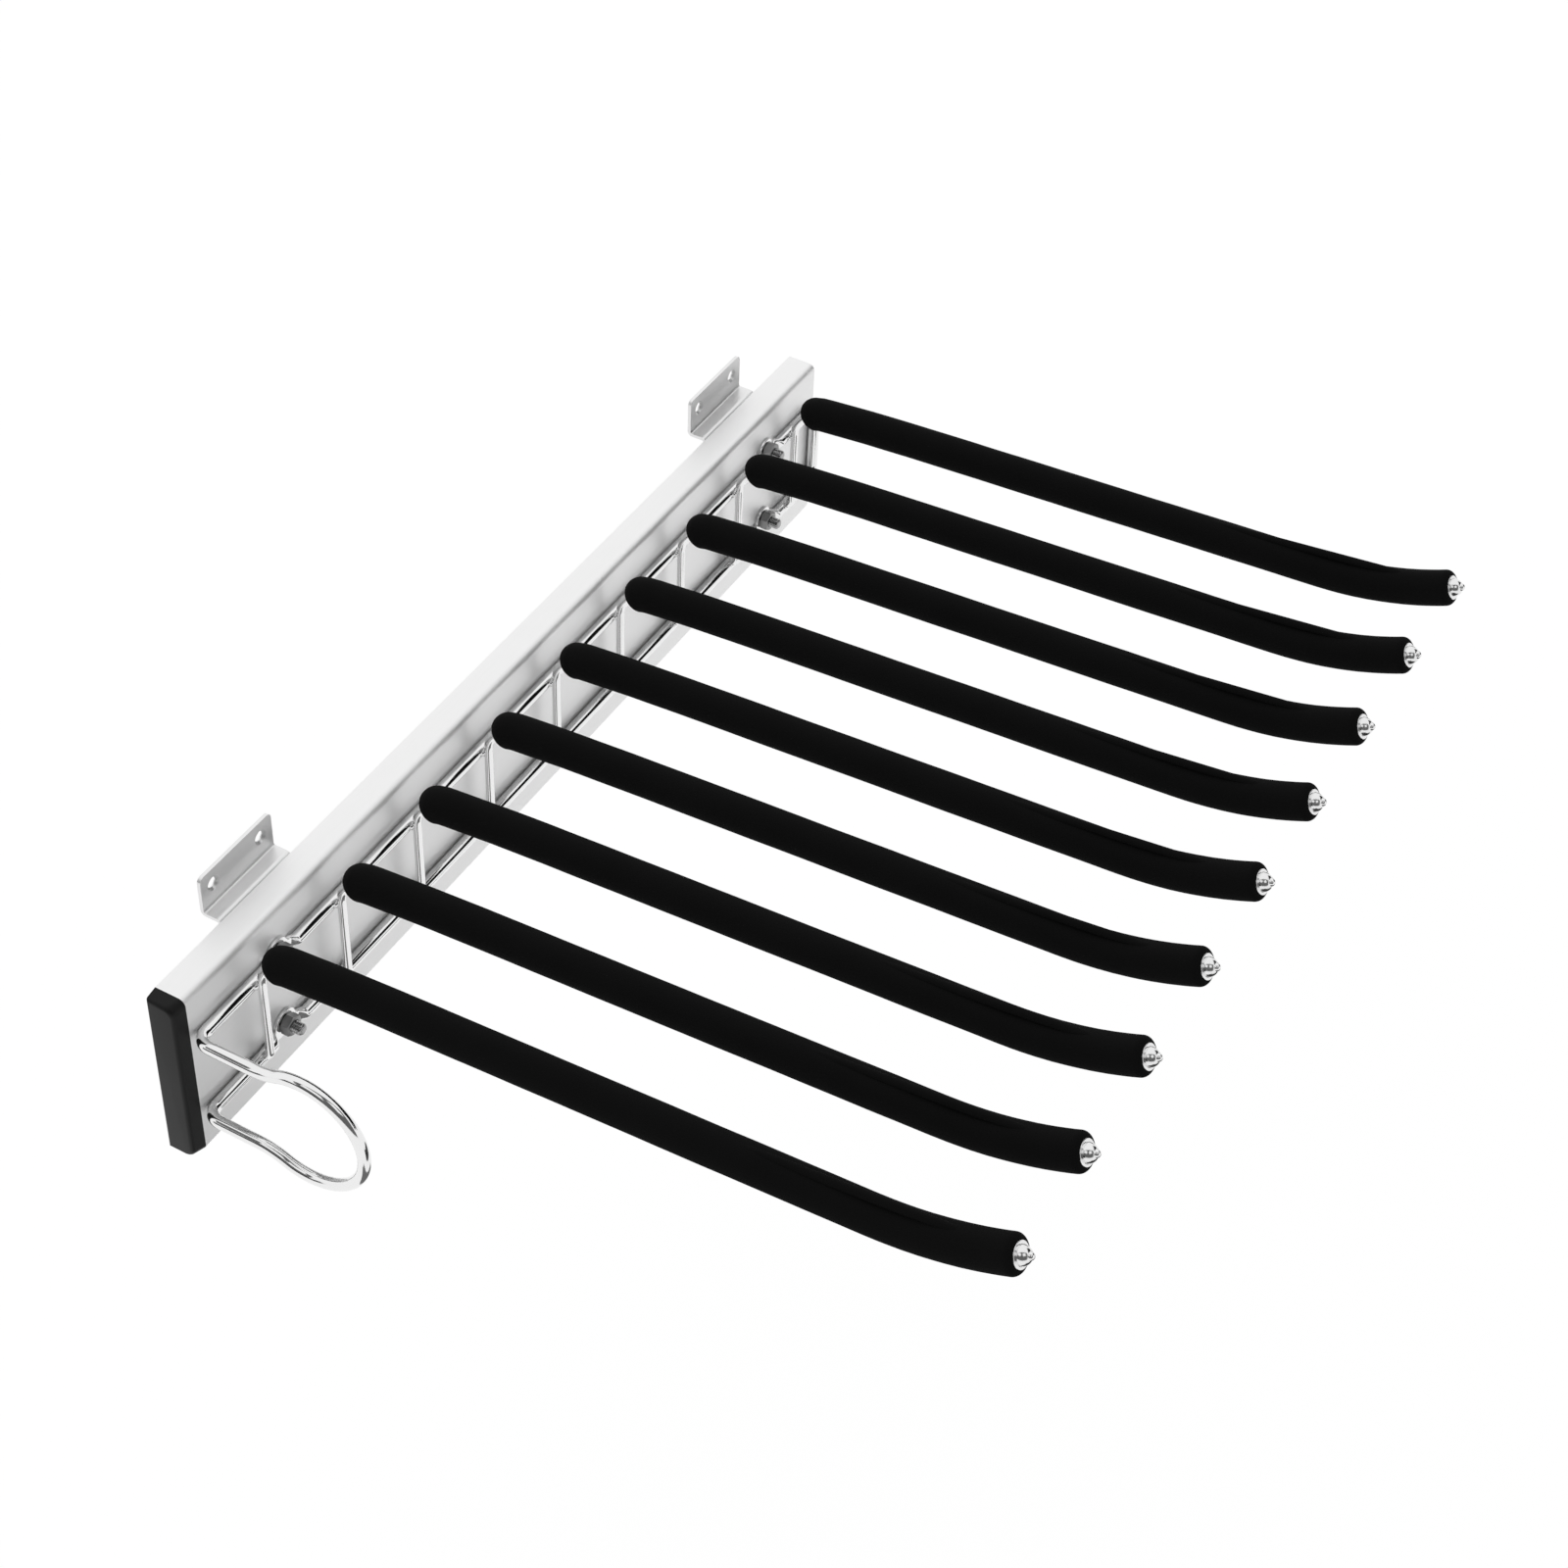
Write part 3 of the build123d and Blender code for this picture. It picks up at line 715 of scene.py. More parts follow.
class SweptWire(GeometryTool):
    """Sweeps a round section along a curve."""

    name = "swept_wire"
    inputs = {"Diameter": "NodeSocketFloat", "Sides": "NodeSocketInt"}

    def shape(self, graph: NodeGraph, given: Value) -> bpy.types.NodeSocket:
        """Sweeps a circle along the curve and shades it smooth.

        Args:
            graph: the tree's graph.
            given: the outputs of its Group Input node.

        Returns:
            The geometry that the nodes make.
        """
        radius = graph.math("DIVIDE", given["Diameter"], 2.0)
        section = graph.node("GeometryNodeCurvePrimitiveCircle", {"mode": "RADIUS"},
                             {"Resolution": given["Sides"], "Radius": radius})
        swept = graph.node("GeometryNodeCurveToMesh", None, {
            "Curve": given["Geometry"], "Profile Curve": section.outputs["Curve"], "Fill Caps": True,
        })
        return graph.node("GeometryNodeSetShadeSmooth", None, {"Geometry": swept.outputs[0]}).outputs[0]


class BentSleeve(GeometryTool):
    """Bends a straight sleeve along a route and gives it the soft lumps of foam."""

    name = "bent_sleeve"
    inputs = {
        "Route": "NodeSocketObject", "Lump Height": "NodeSocketFloat", "Lump Size": "NodeSocketFloat",
        "Seed": "NodeSocketFloat",
    }

    def shape(self, graph: NodeGraph, given: Value) -> bpy.types.NodeSocket:
        """Samples the route at each point's distance and turns its section across it.

        Args:
            graph: the tree's graph.
            given: the outputs of its Group Input node.

        Returns:
            The geometry that the nodes make.
        """
        position = graph.node("GeometryNodeInputPosition").outputs[0]
        parts = graph.node("ShaderNodeSeparateXYZ", None, {0: position}).outputs
        along, across, upwards = (graph.signal(part) for part in parts)
        route = graph.node("GeometryNodeObjectInfo", {"transform_space": "ORIGINAL"},
                           {"Object": given["Route"]})
        curve = route.outputs["Geometry"]
        length = graph.node("GeometryNodeCurveLength", None, {"Curve": curve}).outputs[0]
        inside = along.highest(0.0).lowest(length)
        sample = graph.node("GeometryNodeSampleCurve", {"mode": "LENGTH"},
                            {"Curves": curve, "Length": inside})
        tangent, normal = sample.outputs["Tangent"], sample.outputs["Normal"]
        side = graph.vector("CROSS_PRODUCT", tangent, normal)
        lumps = graph.node("ShaderNodeTexNoise", {"noise_dimensions": "4D"}, {
            "Vector": position, "W": given["Seed"], "Detail": 1.0,
            "Scale": graph.math("DIVIDE", 1.0, given["Lump Size"]),
        })
        swell = (graph.signal(lumps.outputs["Fac"]) - 0.5) * given["Lump Height"] + 1.0
        place = sample.outputs["Position"]
        moves = ((normal, across * swell), (side, upwards * swell), (tangent, along - inside))
        for direction, amount in moves:
            place = graph.vector("ADD", place, graph.vector("SCALE", direction, amount))
        return graph.node("GeometryNodeSetPosition", None,
                          {"Geometry": given["Geometry"], "Position": place}).outputs[0]


class RepeatedPiece(GeometryTool):
    """Puts a copy of a piece on each point of a mesh, each turned about X by chance."""

    name = "repeated_piece"
    inputs = {"Piece": "NodeSocketObject", "Turn": "NodeSocketFloat", "Seed": "NodeSocketInt"}

    def shape(self, graph: NodeGraph, given: Value) -> bpy.types.NodeSocket:
        """Instances the piece on the points with a random turn.

        Args:
            graph: the tree's graph.
            given: the outputs of its Group Input node.

        Returns:
            The geometry that the nodes make.
        """
        piece = graph.node("GeometryNodeObjectInfo", {"transform_space": "ORIGINAL"},
                           {"Object": given["Piece"]})
        chance = graph.node("FunctionNodeRandomValue", {"data_type": "FLOAT"},
                            {2: 0.0, 3: given["Turn"], "Seed": given["Seed"]})
        turn = graph.node("ShaderNodeCombineXYZ", None, {0: chance.outputs[1]})
        rotation = graph.node("FunctionNodeEulerToRotation", None, {0: turn.outputs[0]})
        placed = graph.node("GeometryNodeInstanceOnPoints", None, {
            "Points": given["Geometry"], "Instance": piece.outputs["Geometry"],
            "Rotation": rotation.outputs[0],
        })
        return placed.outputs[0]


def points_object(places: Sequence[Vector]) -> bpy.types.Object:
    """Makes loose points.

    Args:
        places: where they are.

    Returns:
        A mesh object with a point at each place.
    """
    mesh = bpy.data.meshes.new("places")
    mesh.from_pydata([tuple(place) for place in places], [], [])
    return linked(bpy.data.objects.new("places", mesh))


@dataclass
class Workshop:
    """The geometry tools, each made once."""

    sweep: SweptWire = field(default_factory=SweptWire)
    bend: BentSleeve = field(default_factory=BentSleeve)
    repeat: RepeatedPiece = field(default_factory=RepeatedPiece)
    wire_sides: int = 32

    def wire(self, name: str, route: Route, diameter: float, finish: Finish) -> bpy.types.Object:
        """Sweeps a wire along a route.

        Args:
            name: the wire's name.
            route: its centre line.
            diameter: its thickness.
            finish: its finish.

        Returns:
            The wire.
        """
        piece = self.sweep.make(name, route.curve(), Diameter=diameter, Sides=self.wire_sides,
                                Finish=finish.material())
        cleaned(piece.data)
        return piece

    def copies(self, name: str, piece: bpy.types.Object, places: Sequence[Vector], finish: Finish,
               turn: float = 0.0, seed: int = 0) -> bpy.types.Object:
        """Repeats a piece at places.

        Args:
            name: the new piece's name.
            piece: the piece to repeat, which is removed afterwards.
            places: where the copies go.
            finish: the finish of all copies.
            turn: the largest chance turn about X, in degrees.
            seed: the chance's seed.

        Returns:
            All copies as one object.
        """
        made = self.repeat.make(name, points_object(places), Piece=piece, Turn=math.radians(turn),
                                Seed=seed, Finish=finish.material())
        smoothed(made.data)
        return made


def settle(piece: bpy.types.Object, body: Body, nodes: Sequence[str] = ()) -> bpy.types.Object:
    """Lets a finished piece ride on its body and hides the nodes it stands for.

    Args:
        piece: the finished piece.
        body: the body it rides on.
        nodes: the frame's nodes that it replaces.

    Returns:
        The piece.
    """
    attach(piece, body.value)
    if nodes:
        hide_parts(*nodes)
    log.info("%s: %d faces on %s", piece.name, len(piece.data.polygons), body.value)
    return piece


# ------------------------------------------------------------------ shared places
@dataclass(frozen=True)
class Layout:
    """Places that the sub-assemblies share, read from the frame."""

    arm_depths: tuple[float, ...]
    wire_x: float
    upper_wire: float
    lower_wire: float
    bolt_depths: tuple[float, float]
    bolt_heights: tuple[float, float]
    cover_front: float
    cover_rear: float
    cover_face: float
    cover_top: float

    @classmethod
    def from_frame(cls) -> "Layout":
        """Reads the boxes of the frame's nodes.

        Returns:
            The places.
        """
        arms = sorted(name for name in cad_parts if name.startswith("arm_rod_"))
        wire_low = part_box("frame_wire")[0]
        loop_low, loop_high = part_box("pull_handle")
        bolt_low, bolt_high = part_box("frame_bolts")
        head_half = BOLT_HEAD_DIAMETER / 2
        cover_low, cover_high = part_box("cover_profile")
        wire_x, lower = wire_low.x + WIRE_DIAMETER / 2, wire_low.z + WIRE_DIAMETER / 2
        return cls(
            arm_depths=tuple(sum(corner.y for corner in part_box(name)) / 2 for name in arms),
            wire_x=wire_x,
            upper_wire=loop_low.z + loop_high.z - lower,
            lower_wire=lower,
            bolt_depths=(bolt_low.y + head_half, bolt_high.y - head_half),
            bolt_heights=(bolt_high.z - head_half, bolt_low.z + head_half),
            cover_front=cover_low.y,
            cover_rear=cover_high.y,
            cover_face=cover_high.x,
            cover_top=cover_high.z,
        )

    def bolts(self, x: float) -> list[Vector]:
        """The four bolt axes at a distance from the wall."""
        return [Vector((x, y, z)) for y in self.bolt_depths for z in self.bolt_heights]


# ------------------------------------------------------------------ wire frame
@dataclass
class WireFrame:
    """Chromed wire frame, pressed into flat eyes at its bolts, and its finger loop."""

    layout: Layout
    diameter: float = WIRE_DIAMETER
    front_bend: float = 6 * MM
    rear_bend: float = 8 * MM
    press_half: float = 9.8 * MM
    press_ramp: float = 3.5 * MM
    press_step: float = 0.3 * MM
    press_squareness: float = 4.0
    press_catch: float = 1.1
    eye_radius: float = 5.6 * MM
    handle_leg: float = 17.6 * MM
    handle_neck: float = 30 * MM
    handle_bulge: float = 4.9 * MM

    def _runs(self, route: Route, lengths: Sequence[float]) -> None:
        """Draws plain runs with a finely stepped one between each two, where the press comes.

        Args:
            route: the route to go on with.
            lengths: the plain runs' lengths.
        """
        route.run(lengths[0])
        for length in lengths[1:]:
            route.run(2 * self.press_half, self.press_step).run(length)

    def frame_route(self) -> Route:
        """Draws the upper wire, the rear upright and the lower wire.

        Returns:
            The frame wire's centre line.
        """
        places = self.layout
        front = places.cover_front + self.front_bend
        rear = places.cover_rear - self.diameter / 2 - self.rear_bend
        first, last = places.bolt_depths
        lengths = [first - self.press_half - front, last - first - 2 * self.press_half,
                   rear - last - self.press_half]
        route = Route(Vector((places.wire_x, front, places.upper_wire)), Y_AXIS.copy())
        self._runs(route, lengths)
        route.bend(self.rear_bend, -90, X_AXIS)
        route.run(places.upper_wire - places.lower_wire - 2 * self.rear_bend)
        route.bend(self.rear_bend, -90, X_AXIS)
        self._runs(route, lengths[::-1])
        return route

    def _press(self, mesh: bpy.types.Mesh) -> None:
        """Presses the wire flat round each bolt, drawing it out into an eye.

        Args:
            mesh: the swept wire's mesh, whose points move.
        """
        places, radius = self.layout, self.diameter / 2
        flat = self.press_half - self.press_ramp
        points = np.empty(len(mesh.vertices) * 3)
        mesh.vertices.foreach_get("co", points)
        points = points.reshape(-1, 3)
        for bolt_y, bolt_z, wire_z in (
            (y, z, wire) for y in places.bolt_depths
            for z, wire in zip(places.bolt_heights, (places.upper_wire, places.lower_wire))
        ):
            away = np.abs(points[:, 1] - bolt_y)
            near = (away < self.press_half) & (np.abs(points[:, 2] - wire_z) < self.press_catch * radius)
            share = np.clip((self.press_half - away[near]) / self.press_ramp, 0, 1)
            share = share**2 * (3 - 2 * share)
            eye = self.eye_radius * np.sqrt(np.clip(1 - (away[near] / flat) ** 2, 0, 1))
            high = np.maximum(radius, bolt_z - wire_z + eye)
            low = np.maximum(radius, wire_z - bolt_z + eye)
            thick = self.diameter + (PRESSED_SHEET - self.diameter) * share
            power = 2 / (2 + self.press_squareness * share)
            outwards = (points[near, 0] - places.wire_x) / radius
            upwards = (points[near, 2] - wire_z) / radius
            outwards, upwards = (np.sign(way) * np.abs(way) ** power for way in (outwards, upwards))
            points[near, 0] = places.cover_face + thick / 2 * (1 + outwards)
            points[near, 2] = wire_z + (high - low) / 2 + (high + low) / 2 * upwards
        mesh.vertices.foreach_set("co", points.ravel())
        cleaned(mesh)

    def handle_route(self) -> Route:
        """Draws the front bend, the pear shaped loop and the bend back.

        Returns:
            The finger loop's centre line.
        """
        places = self.layout
        half = (places.upper_wire - places.lower_wire) / 2
        loop = half + self.handle_bulge
        reach = loop + self.handle_neck
        turn = math.degrees(math.acos((half + self.handle_neck) / reach))
        start = Vector((places.wire_x, places.cover_front + self.front_bend, places.upper_wire))
        route = Route(start, -Y_AXIS)
        route.bend(self.front_bend, 90, Z_AXIS).run(self.handle_leg)
        route.bend(self.handle_neck, turn, -Y_AXIS).bend(loop, -180 - 2 * turn, -Y_AXIS)
        route.bend(self.handle_neck, turn, -Y_AXIS).run(self.handle_leg)
        return route.bend(self.front_bend, -90, Z_AXIS)

    def build(self, workshop: Workshop) -> None:
        """Makes both wires and lets them ride on the carriage.

        Args:
            workshop: the geometry tools.
        """
        wire = workshop.wire("chromed_frame_wire", self.frame_route(), self.diameter, CHROME)
        self._press(wire.data)
        settle(wire, Body.CARRIAGE, ["frame_wire"])
        loop = workshop.wire("finger_loop", self.handle_route(), self.diameter, CHROME)
        settle(loop, Body.CARRIAGE, ["pull_handle"])


# ------------------------------------------------------------------ arms
@dataclass
class Arms:
    """Nine bent rods with their foam sleeves, tip caps and welds."""

    layout: Layout
    rod: float = 3.5 * MM
    weld_sink: float = 0.3 * MM
    foot_angle: float = 45.0
    foot_bend: float = 4 * MM
    root_bend: float = 16 * MM
    root_angle: float = 6.0
    root_below_cover: float = 17.8 * MM
    rise_angle: float = 3.4
    settle_length: float = 45 * MM
    arm_run: float = 190 * MM
    tip_bend: float = 138 * MM
    tip_angle: float = 26.8
    sleeve: float = 14.7 * MM
    sleeve_start_angle: float = 40.0
    sleeve_step: float = 3 * MM
    root_round: float = 5.2 * MM
    tip_round: float = 3 * MM
    tip_round_end: float = 12.5
    bore_play: float = 0.05 * MM
    seat: float = 10 * MM
    seat_depth: float = 1.2 * MM
    lump_share: float = 0.035
    lump_size: float = 26 * MM
    sides: int = 56
    cap_flange: float = 4.9 * MM
    cap_flange_rise: float = 0.2 * MM
    cap_lip: float = 0.25 * MM
    cap_groove: float = 0.12 * MM
    cap_dome: float = 3.7 * MM
    cap_dome_start: float = 88.0
    cap_nub: float = 1.6 * MM
    cap_nub_rise: float = 1.1 * MM
    cap_sides: int = 40
    weld_size: tuple[float, float, float] = (1.3 * MM, 2.5 * MM, 1.9 * MM)
    weld_turn: float = 14.0
    weld_sides: int = 24

    @property
    def rod_x(self) -> float:
        """Distance of the legs' axes from the wall."""
        return self.layout.wire_x + (WIRE_DIAMETER + self.rod) / 2 - self.weld_sink

    @property
    def root_height(self) -> float:
        """Height at which the root bend starts."""
        return self.layout.cover_top - self.root_below_cover

    def _tail(self, route: Route) -> Route:
        """Draws what rod and sleeve share, from the root bend's end to the tip.

        Args:
            route: the route to go on with.

        Returns:
            The route itself.
        """
        turn = self.root_angle - self.rise_angle
        route.bend(self.settle_length / math.radians(turn), -turn, -Y_AXIS)
        return route.run(self.arm_run).bend(self.tip_bend, self.tip_angle - self.rise_angle, -Y_AXIS)

    @staticmethod
    def _way(angle: float) -> Vector:
        """Direction at an angle above the X axis."""
        return Vector((math.cos(math.radians(angle)), 0, math.sin(math.radians(angle))))

    def rod_route(self) -> Route:
        """Draws a rod at depth 0.

        Returns:
            Its centre line.
        """
        rise = math.radians(self.foot_angle)
        foot_reach = self.foot_bend * (1 - math.cos(rise))
        foot_run = (self.rod_x - self.layout.wire_x - foot_reach) / math.cos(rise)
        start = Vector((self.layout.wire_x, 0, self.layout.lower_wire))
        route = Route(start, self._way(90 - self.foot_angle)).run(foot_run)
        route.bend(self.foot_bend, self.foot_angle, -Y_AXIS)
        route.run(self.root_height - route.place.z)
        route.bend(self.root_bend, self.root_angle - 90, -Y_AXIS)
        return self._tail(route).run(self.seat_depth)

    def sleeve_route(self, depth: float) -> Route:
        """Draws a sleeve.

        Args:
            depth: its depth in the wardrobe.

        Returns:
            Its centre line.
        """
        angle = math.radians(self.sleeve_start_angle)
        x = self.rod_x + self.root_bend * (1 - math.sin(angle))
        z = self.root_height + self.root_bend * math.cos(angle)
        start = Vector((x, depth, z))
        route = Route(start, self._way(self.sleeve_start_angle), run_step=self.sleeve_step)
        route.bend(self.root_bend, self.root_angle - self.sleeve_start_angle, -Y_AXIS)
        return self._tail(route)

    def sleeve_profile(self, length: float) -> Profile:
        """Draws a straight sleeve's section: skin, recess for the cap and bore.

        Args:
            length: the sleeve's length.

        Returns:
            The outline, once round.
        """
        outside, bore = self.sleeve / 2, self.rod / 2 + self.bore_play
        body = np.linspace(self.root_round, length - self.tip_round, round(length / self.sleeve_step))
        root_centre = (self.root_round, outside - self.root_round)
        tip_centre = (length - self.tip_round, outside - self.tip_round)
        return [
            (0.0, bore),
            *arc(root_centre, self.root_round, 180, 90, steps=14),
            *[(along, outside) for along in body[1:-1]],
            *arc(tip_centre, self.tip_round, 90, self.tip_round_end, steps=10),
            (length - self.seat_depth, self.seat / 2),
            (length - self.seat_depth, bore),
        ]

    def cap_profile(self) -> Profile:
        """Draws a tip cap's flange, dome and nub along its own axis.

        Returns:
            The outline.
        """
        flange, lip, top = self.cap_flange, self.cap_lip, self.cap_flange_rise
        dome, nub = self.cap_dome, self.cap_nub
        nub_centre = top + dome + self.cap_nub_rise - nub
        gap = nub_centre - top
        meet = (gap**2 + dome**2 - nub**2) / (2 * gap)
        dome_end = math.degrees(math.acos(meet / dome))
        nub_start = math.degrees(math.acos((meet - gap) / nub))
        return [
            (-self.seat_depth, 0.0),
            (-self.seat_depth, flange - lip),
            *arc((top - lip, flange - lip), lip, 90, 0, steps=5),
            (top, dome + self.cap_groove),
            *arc((top, 0.0), dome, self.cap_dome_start, dome_end, steps=18),
            *arc((nub_centre, 0.0), nub, nub_start, 0, steps=12),
        ]

    def _weld(self) -> bpy.types.Object:
        """Smooth bead between a leg and a wire."""
        bead = lathe("bead", arc((0, 0), 1.0, 180, 0, steps=14), self.weld_sides)
        return moved(bead, Matrix.Diagonal((*self.weld_size, 1)))

    def build(self, workshop: Workshop) -> None:
        """Makes rods, sleeves, caps and welds and lets them ride on the carriage.

        Args:
            workshop: the geometry tools.
        """
        depths = self.layout.arm_depths
        numbers = range(1, len(depths) + 1)
        rows = [Vector((0, depth, 0)) for depth in depths]
        rod = workshop.wire("rod", self.rod_route(), self.rod, CHROME)
        rods = workshop.copies("arm_rods", rod, rows, CHROME)
        settle(rods, Body.CARRIAGE, [f"arm_rod_{n}" for n in numbers])
        for number, depth in zip(numbers, depths):
            self._sleeve(workshop, number, depth)
        self._caps(workshop, rows)
        contact = self.layout.wire_x + WIRE_DIAMETER / 2 - self.weld_sink
        heights = (self.layout.upper_wire, self.layout.lower_wire + self.rod / 2)
        spots = [Vector((contact, depth, z)) for depth in depths for z in heights]
        welds = workshop.copies("arm_welds", self._weld(), spots, CHROME, self.weld_turn, seed=5)
        settle(welds, Body.CARRIAGE)

    def _sleeve(self, workshop: Workshop, number: int, depth: float) -> None:
        """Makes one foam sleeve.

        Args:
            workshop: the geometry tools.
            number: the arm's number.
            depth: its depth in the wardrobe.
        """
        route = self.sleeve_route(depth)
        straight = lathe("straight_sleeve", self.sleeve_profile(route.length()), self.sides, closed=True)
        piece = workshop.bend.make(
            f"foam_sleeve_skin_{number}", straight, Route=route.curve(), Lump_Height=self.lump_share,
            Lump_Size=self.lump_size, Seed=float(number), Finish=BLACK_FOAM.material(),
        )
        settle(piece, Body.CARRIAGE, [f"foam_sleeve_{number}"])

    def _caps(self, workshop: Workshop, rows: Sequence[Vector]) -> None:
        """Makes the tip caps, each set on its sleeve's last point.

        Args:
            workshop: the geometry tools.
            rows: the arms' places.
        """
        route = self.sleeve_route(0.0)
        cap = lathe("cap", self.cap_profile(), self.cap_sides)
        turned = Matrix.Rotation(math.radians(-self.tip_angle), 4, Y_AXIS)
        moved(cap, Matrix.Translation(route.place) @ turned)
        caps = workshop.copies("tip_caps", cap, rows, NICKEL)
        settle(caps, Body.CARRIAGE, [f"tip_cap_{n}" for n in range(1, len(rows) + 1)])


# ------------------------------------------------------------------ frame fasteners
@dataclass
class FrameFasteners:
    """Nuts and bolts that hold the wire frame on the cover."""

    layout: Layout
    nut_flats: float = 8 * MM
    nut_height: float = 4 * MM
    nut_washer: float = 7.4 * MM
    nut_chamfer_angle: float = 28.0
    nut_bore_rim: float = 0.35 * MM
    nut_bore_depth: float = 0.3 * MM
    nut_sides: int = 96
    bolt: float = 5 * MM
    bolt_head: float = BOLT_HEAD_DIAMETER
    bolt_head_height: float = 1.5 * MM
    bolt_head_edge: float = 0.35 * MM
    bolt_end: float = 4.2 * MM
    bolt_round: float = 1.3 * MM
    thread_pitch: float = 0.8 * MM
    thread_depth: float = 0.36 * MM
    thread_in_nut: float = 0.4 * MM
    thread_steps: int = 12
    bolt_sides: int = 48
    bolt_turn: float = 360.0
    cover_sheet: float = 1.2 * MM

    def _nut(self) -> bpy.types.Object:
        """Makes a hexagon nut whose corners are turned off in a cone.

        Returns:
            The nut, its back at 0.
        """
        sides, half, bore = self.nut_sides, self.nut_flats / 2, self.bolt / 2
        washer, slope = self.nut_washer / 2, math.tan(math.radians(self.nut_chamfer_angle))
        angles = np.linspace(0, 2 * math.pi, sides, endpoint=False)
        from_flat = (angles + math.pi / 6) % (math.pi / 3) - math.pi / 6
        hexagon = half / np.cos(from_flat)
        drop = np.maximum(hexagon - washer, 0) * slope
        full, face = np.ones(sides), np.minimum(hexagon, washer)
        levels = [
            (bore * full, 0 * full), (face, 0 * full),
            (hexagon, np.minimum(drop, half)), (hexagon, self.nut_height - drop),
            (face, self.nut_height * full), ((bore + self.nut_bore_rim) * full, self.nut_height * full),
            (bore * full, (self.nut_height - self.nut_bore_depth) * full),
        ]
        rings = [np.stack([x, r * np.cos(angles), r * np.sin(angles)], axis=1) for r, x in levels]
        return linked(bpy.data.objects.new("nut", grid_mesh("nut", np.array(rings), closed=True)))

    def _bolt(self) -> bpy.types.Object:
        """Makes a bolt from its head inside the cover to its domed end, with a cut thread.

        Returns:
            The bolt, the underside of its head at 0.
        """
        sides, radius, edge = self.bolt_sides, self.bolt / 2, self.bolt_head_edge
        angles = np.linspace(0, 2 * math.pi, sides, endpoint=False)
        start = self.cover_sheet + PRESSED_SHEET
        end = start + self.nut_height + self.bolt_end
        head = [
            (-self.bolt_head_height, 0.0), (-self.bolt_head_height, self.bolt_head / 2 - edge),
            *arc((edge - self.bolt_head_height, self.bolt_head / 2 - edge), edge, 180, 90, steps=4),
            (0.0, self.bolt_head / 2), (0.0, radius), (start, radius),
        ]
        levels = [(np.full(sides, along), np.full(sides, r)) for along, r in head]
        cut_end = end - self.bolt_round
        cut_start = start + self.nut_height - self.thread_in_nut
        for along in np.arange(cut_start, cut_end, self.thread_pitch / self.thread_steps):
            phase = (along / self.thread_pitch - angles / (2 * math.pi)) % 1
            groove = (1 - np.abs(2 * phase - 1)) * self.thread_depth
            levels.append((np.full(sides, along), radius - groove))
        for along, r in arc((cut_end, radius - self.bolt_round), self.bolt_round, 90, 0, steps=8)[1:]:
            levels.append((np.full(sides, along), np.full(sides, r)))
        levels.append((np.full(sides, end), np.zeros(sides)))
        rings = [np.stack([x, r * np.cos(angles), r * np.sin(angles)], axis=1) for x, r in levels]
        return linked(bpy.data.objects.new("bolt", grid_mesh("bolt", np.array(rings), closed=False)))

    def build(self, workshop: Workshop) -> None:
        """Makes the four nuts and bolts.

        Args:
            workshop: the geometry tools.
        """
        face = self.layout.cover_face
        seats, heads = self.layout.bolts(face + PRESSED_SHEET), self.layout.bolts(face - self.cover_sheet)
        nuts = workshop.copies("hexagon_nuts", self._nut(), seats, NUT_STEEL)
        settle(nuts, Body.CARRIAGE, ["frame_nuts"])
        bolts = workshop.copies("domed_bolts", self._bolt(), heads, BOLT_STEEL, self.bolt_turn, seed=3)
        settle(bolts, Body.CARRIAGE, ["frame_bolts"])


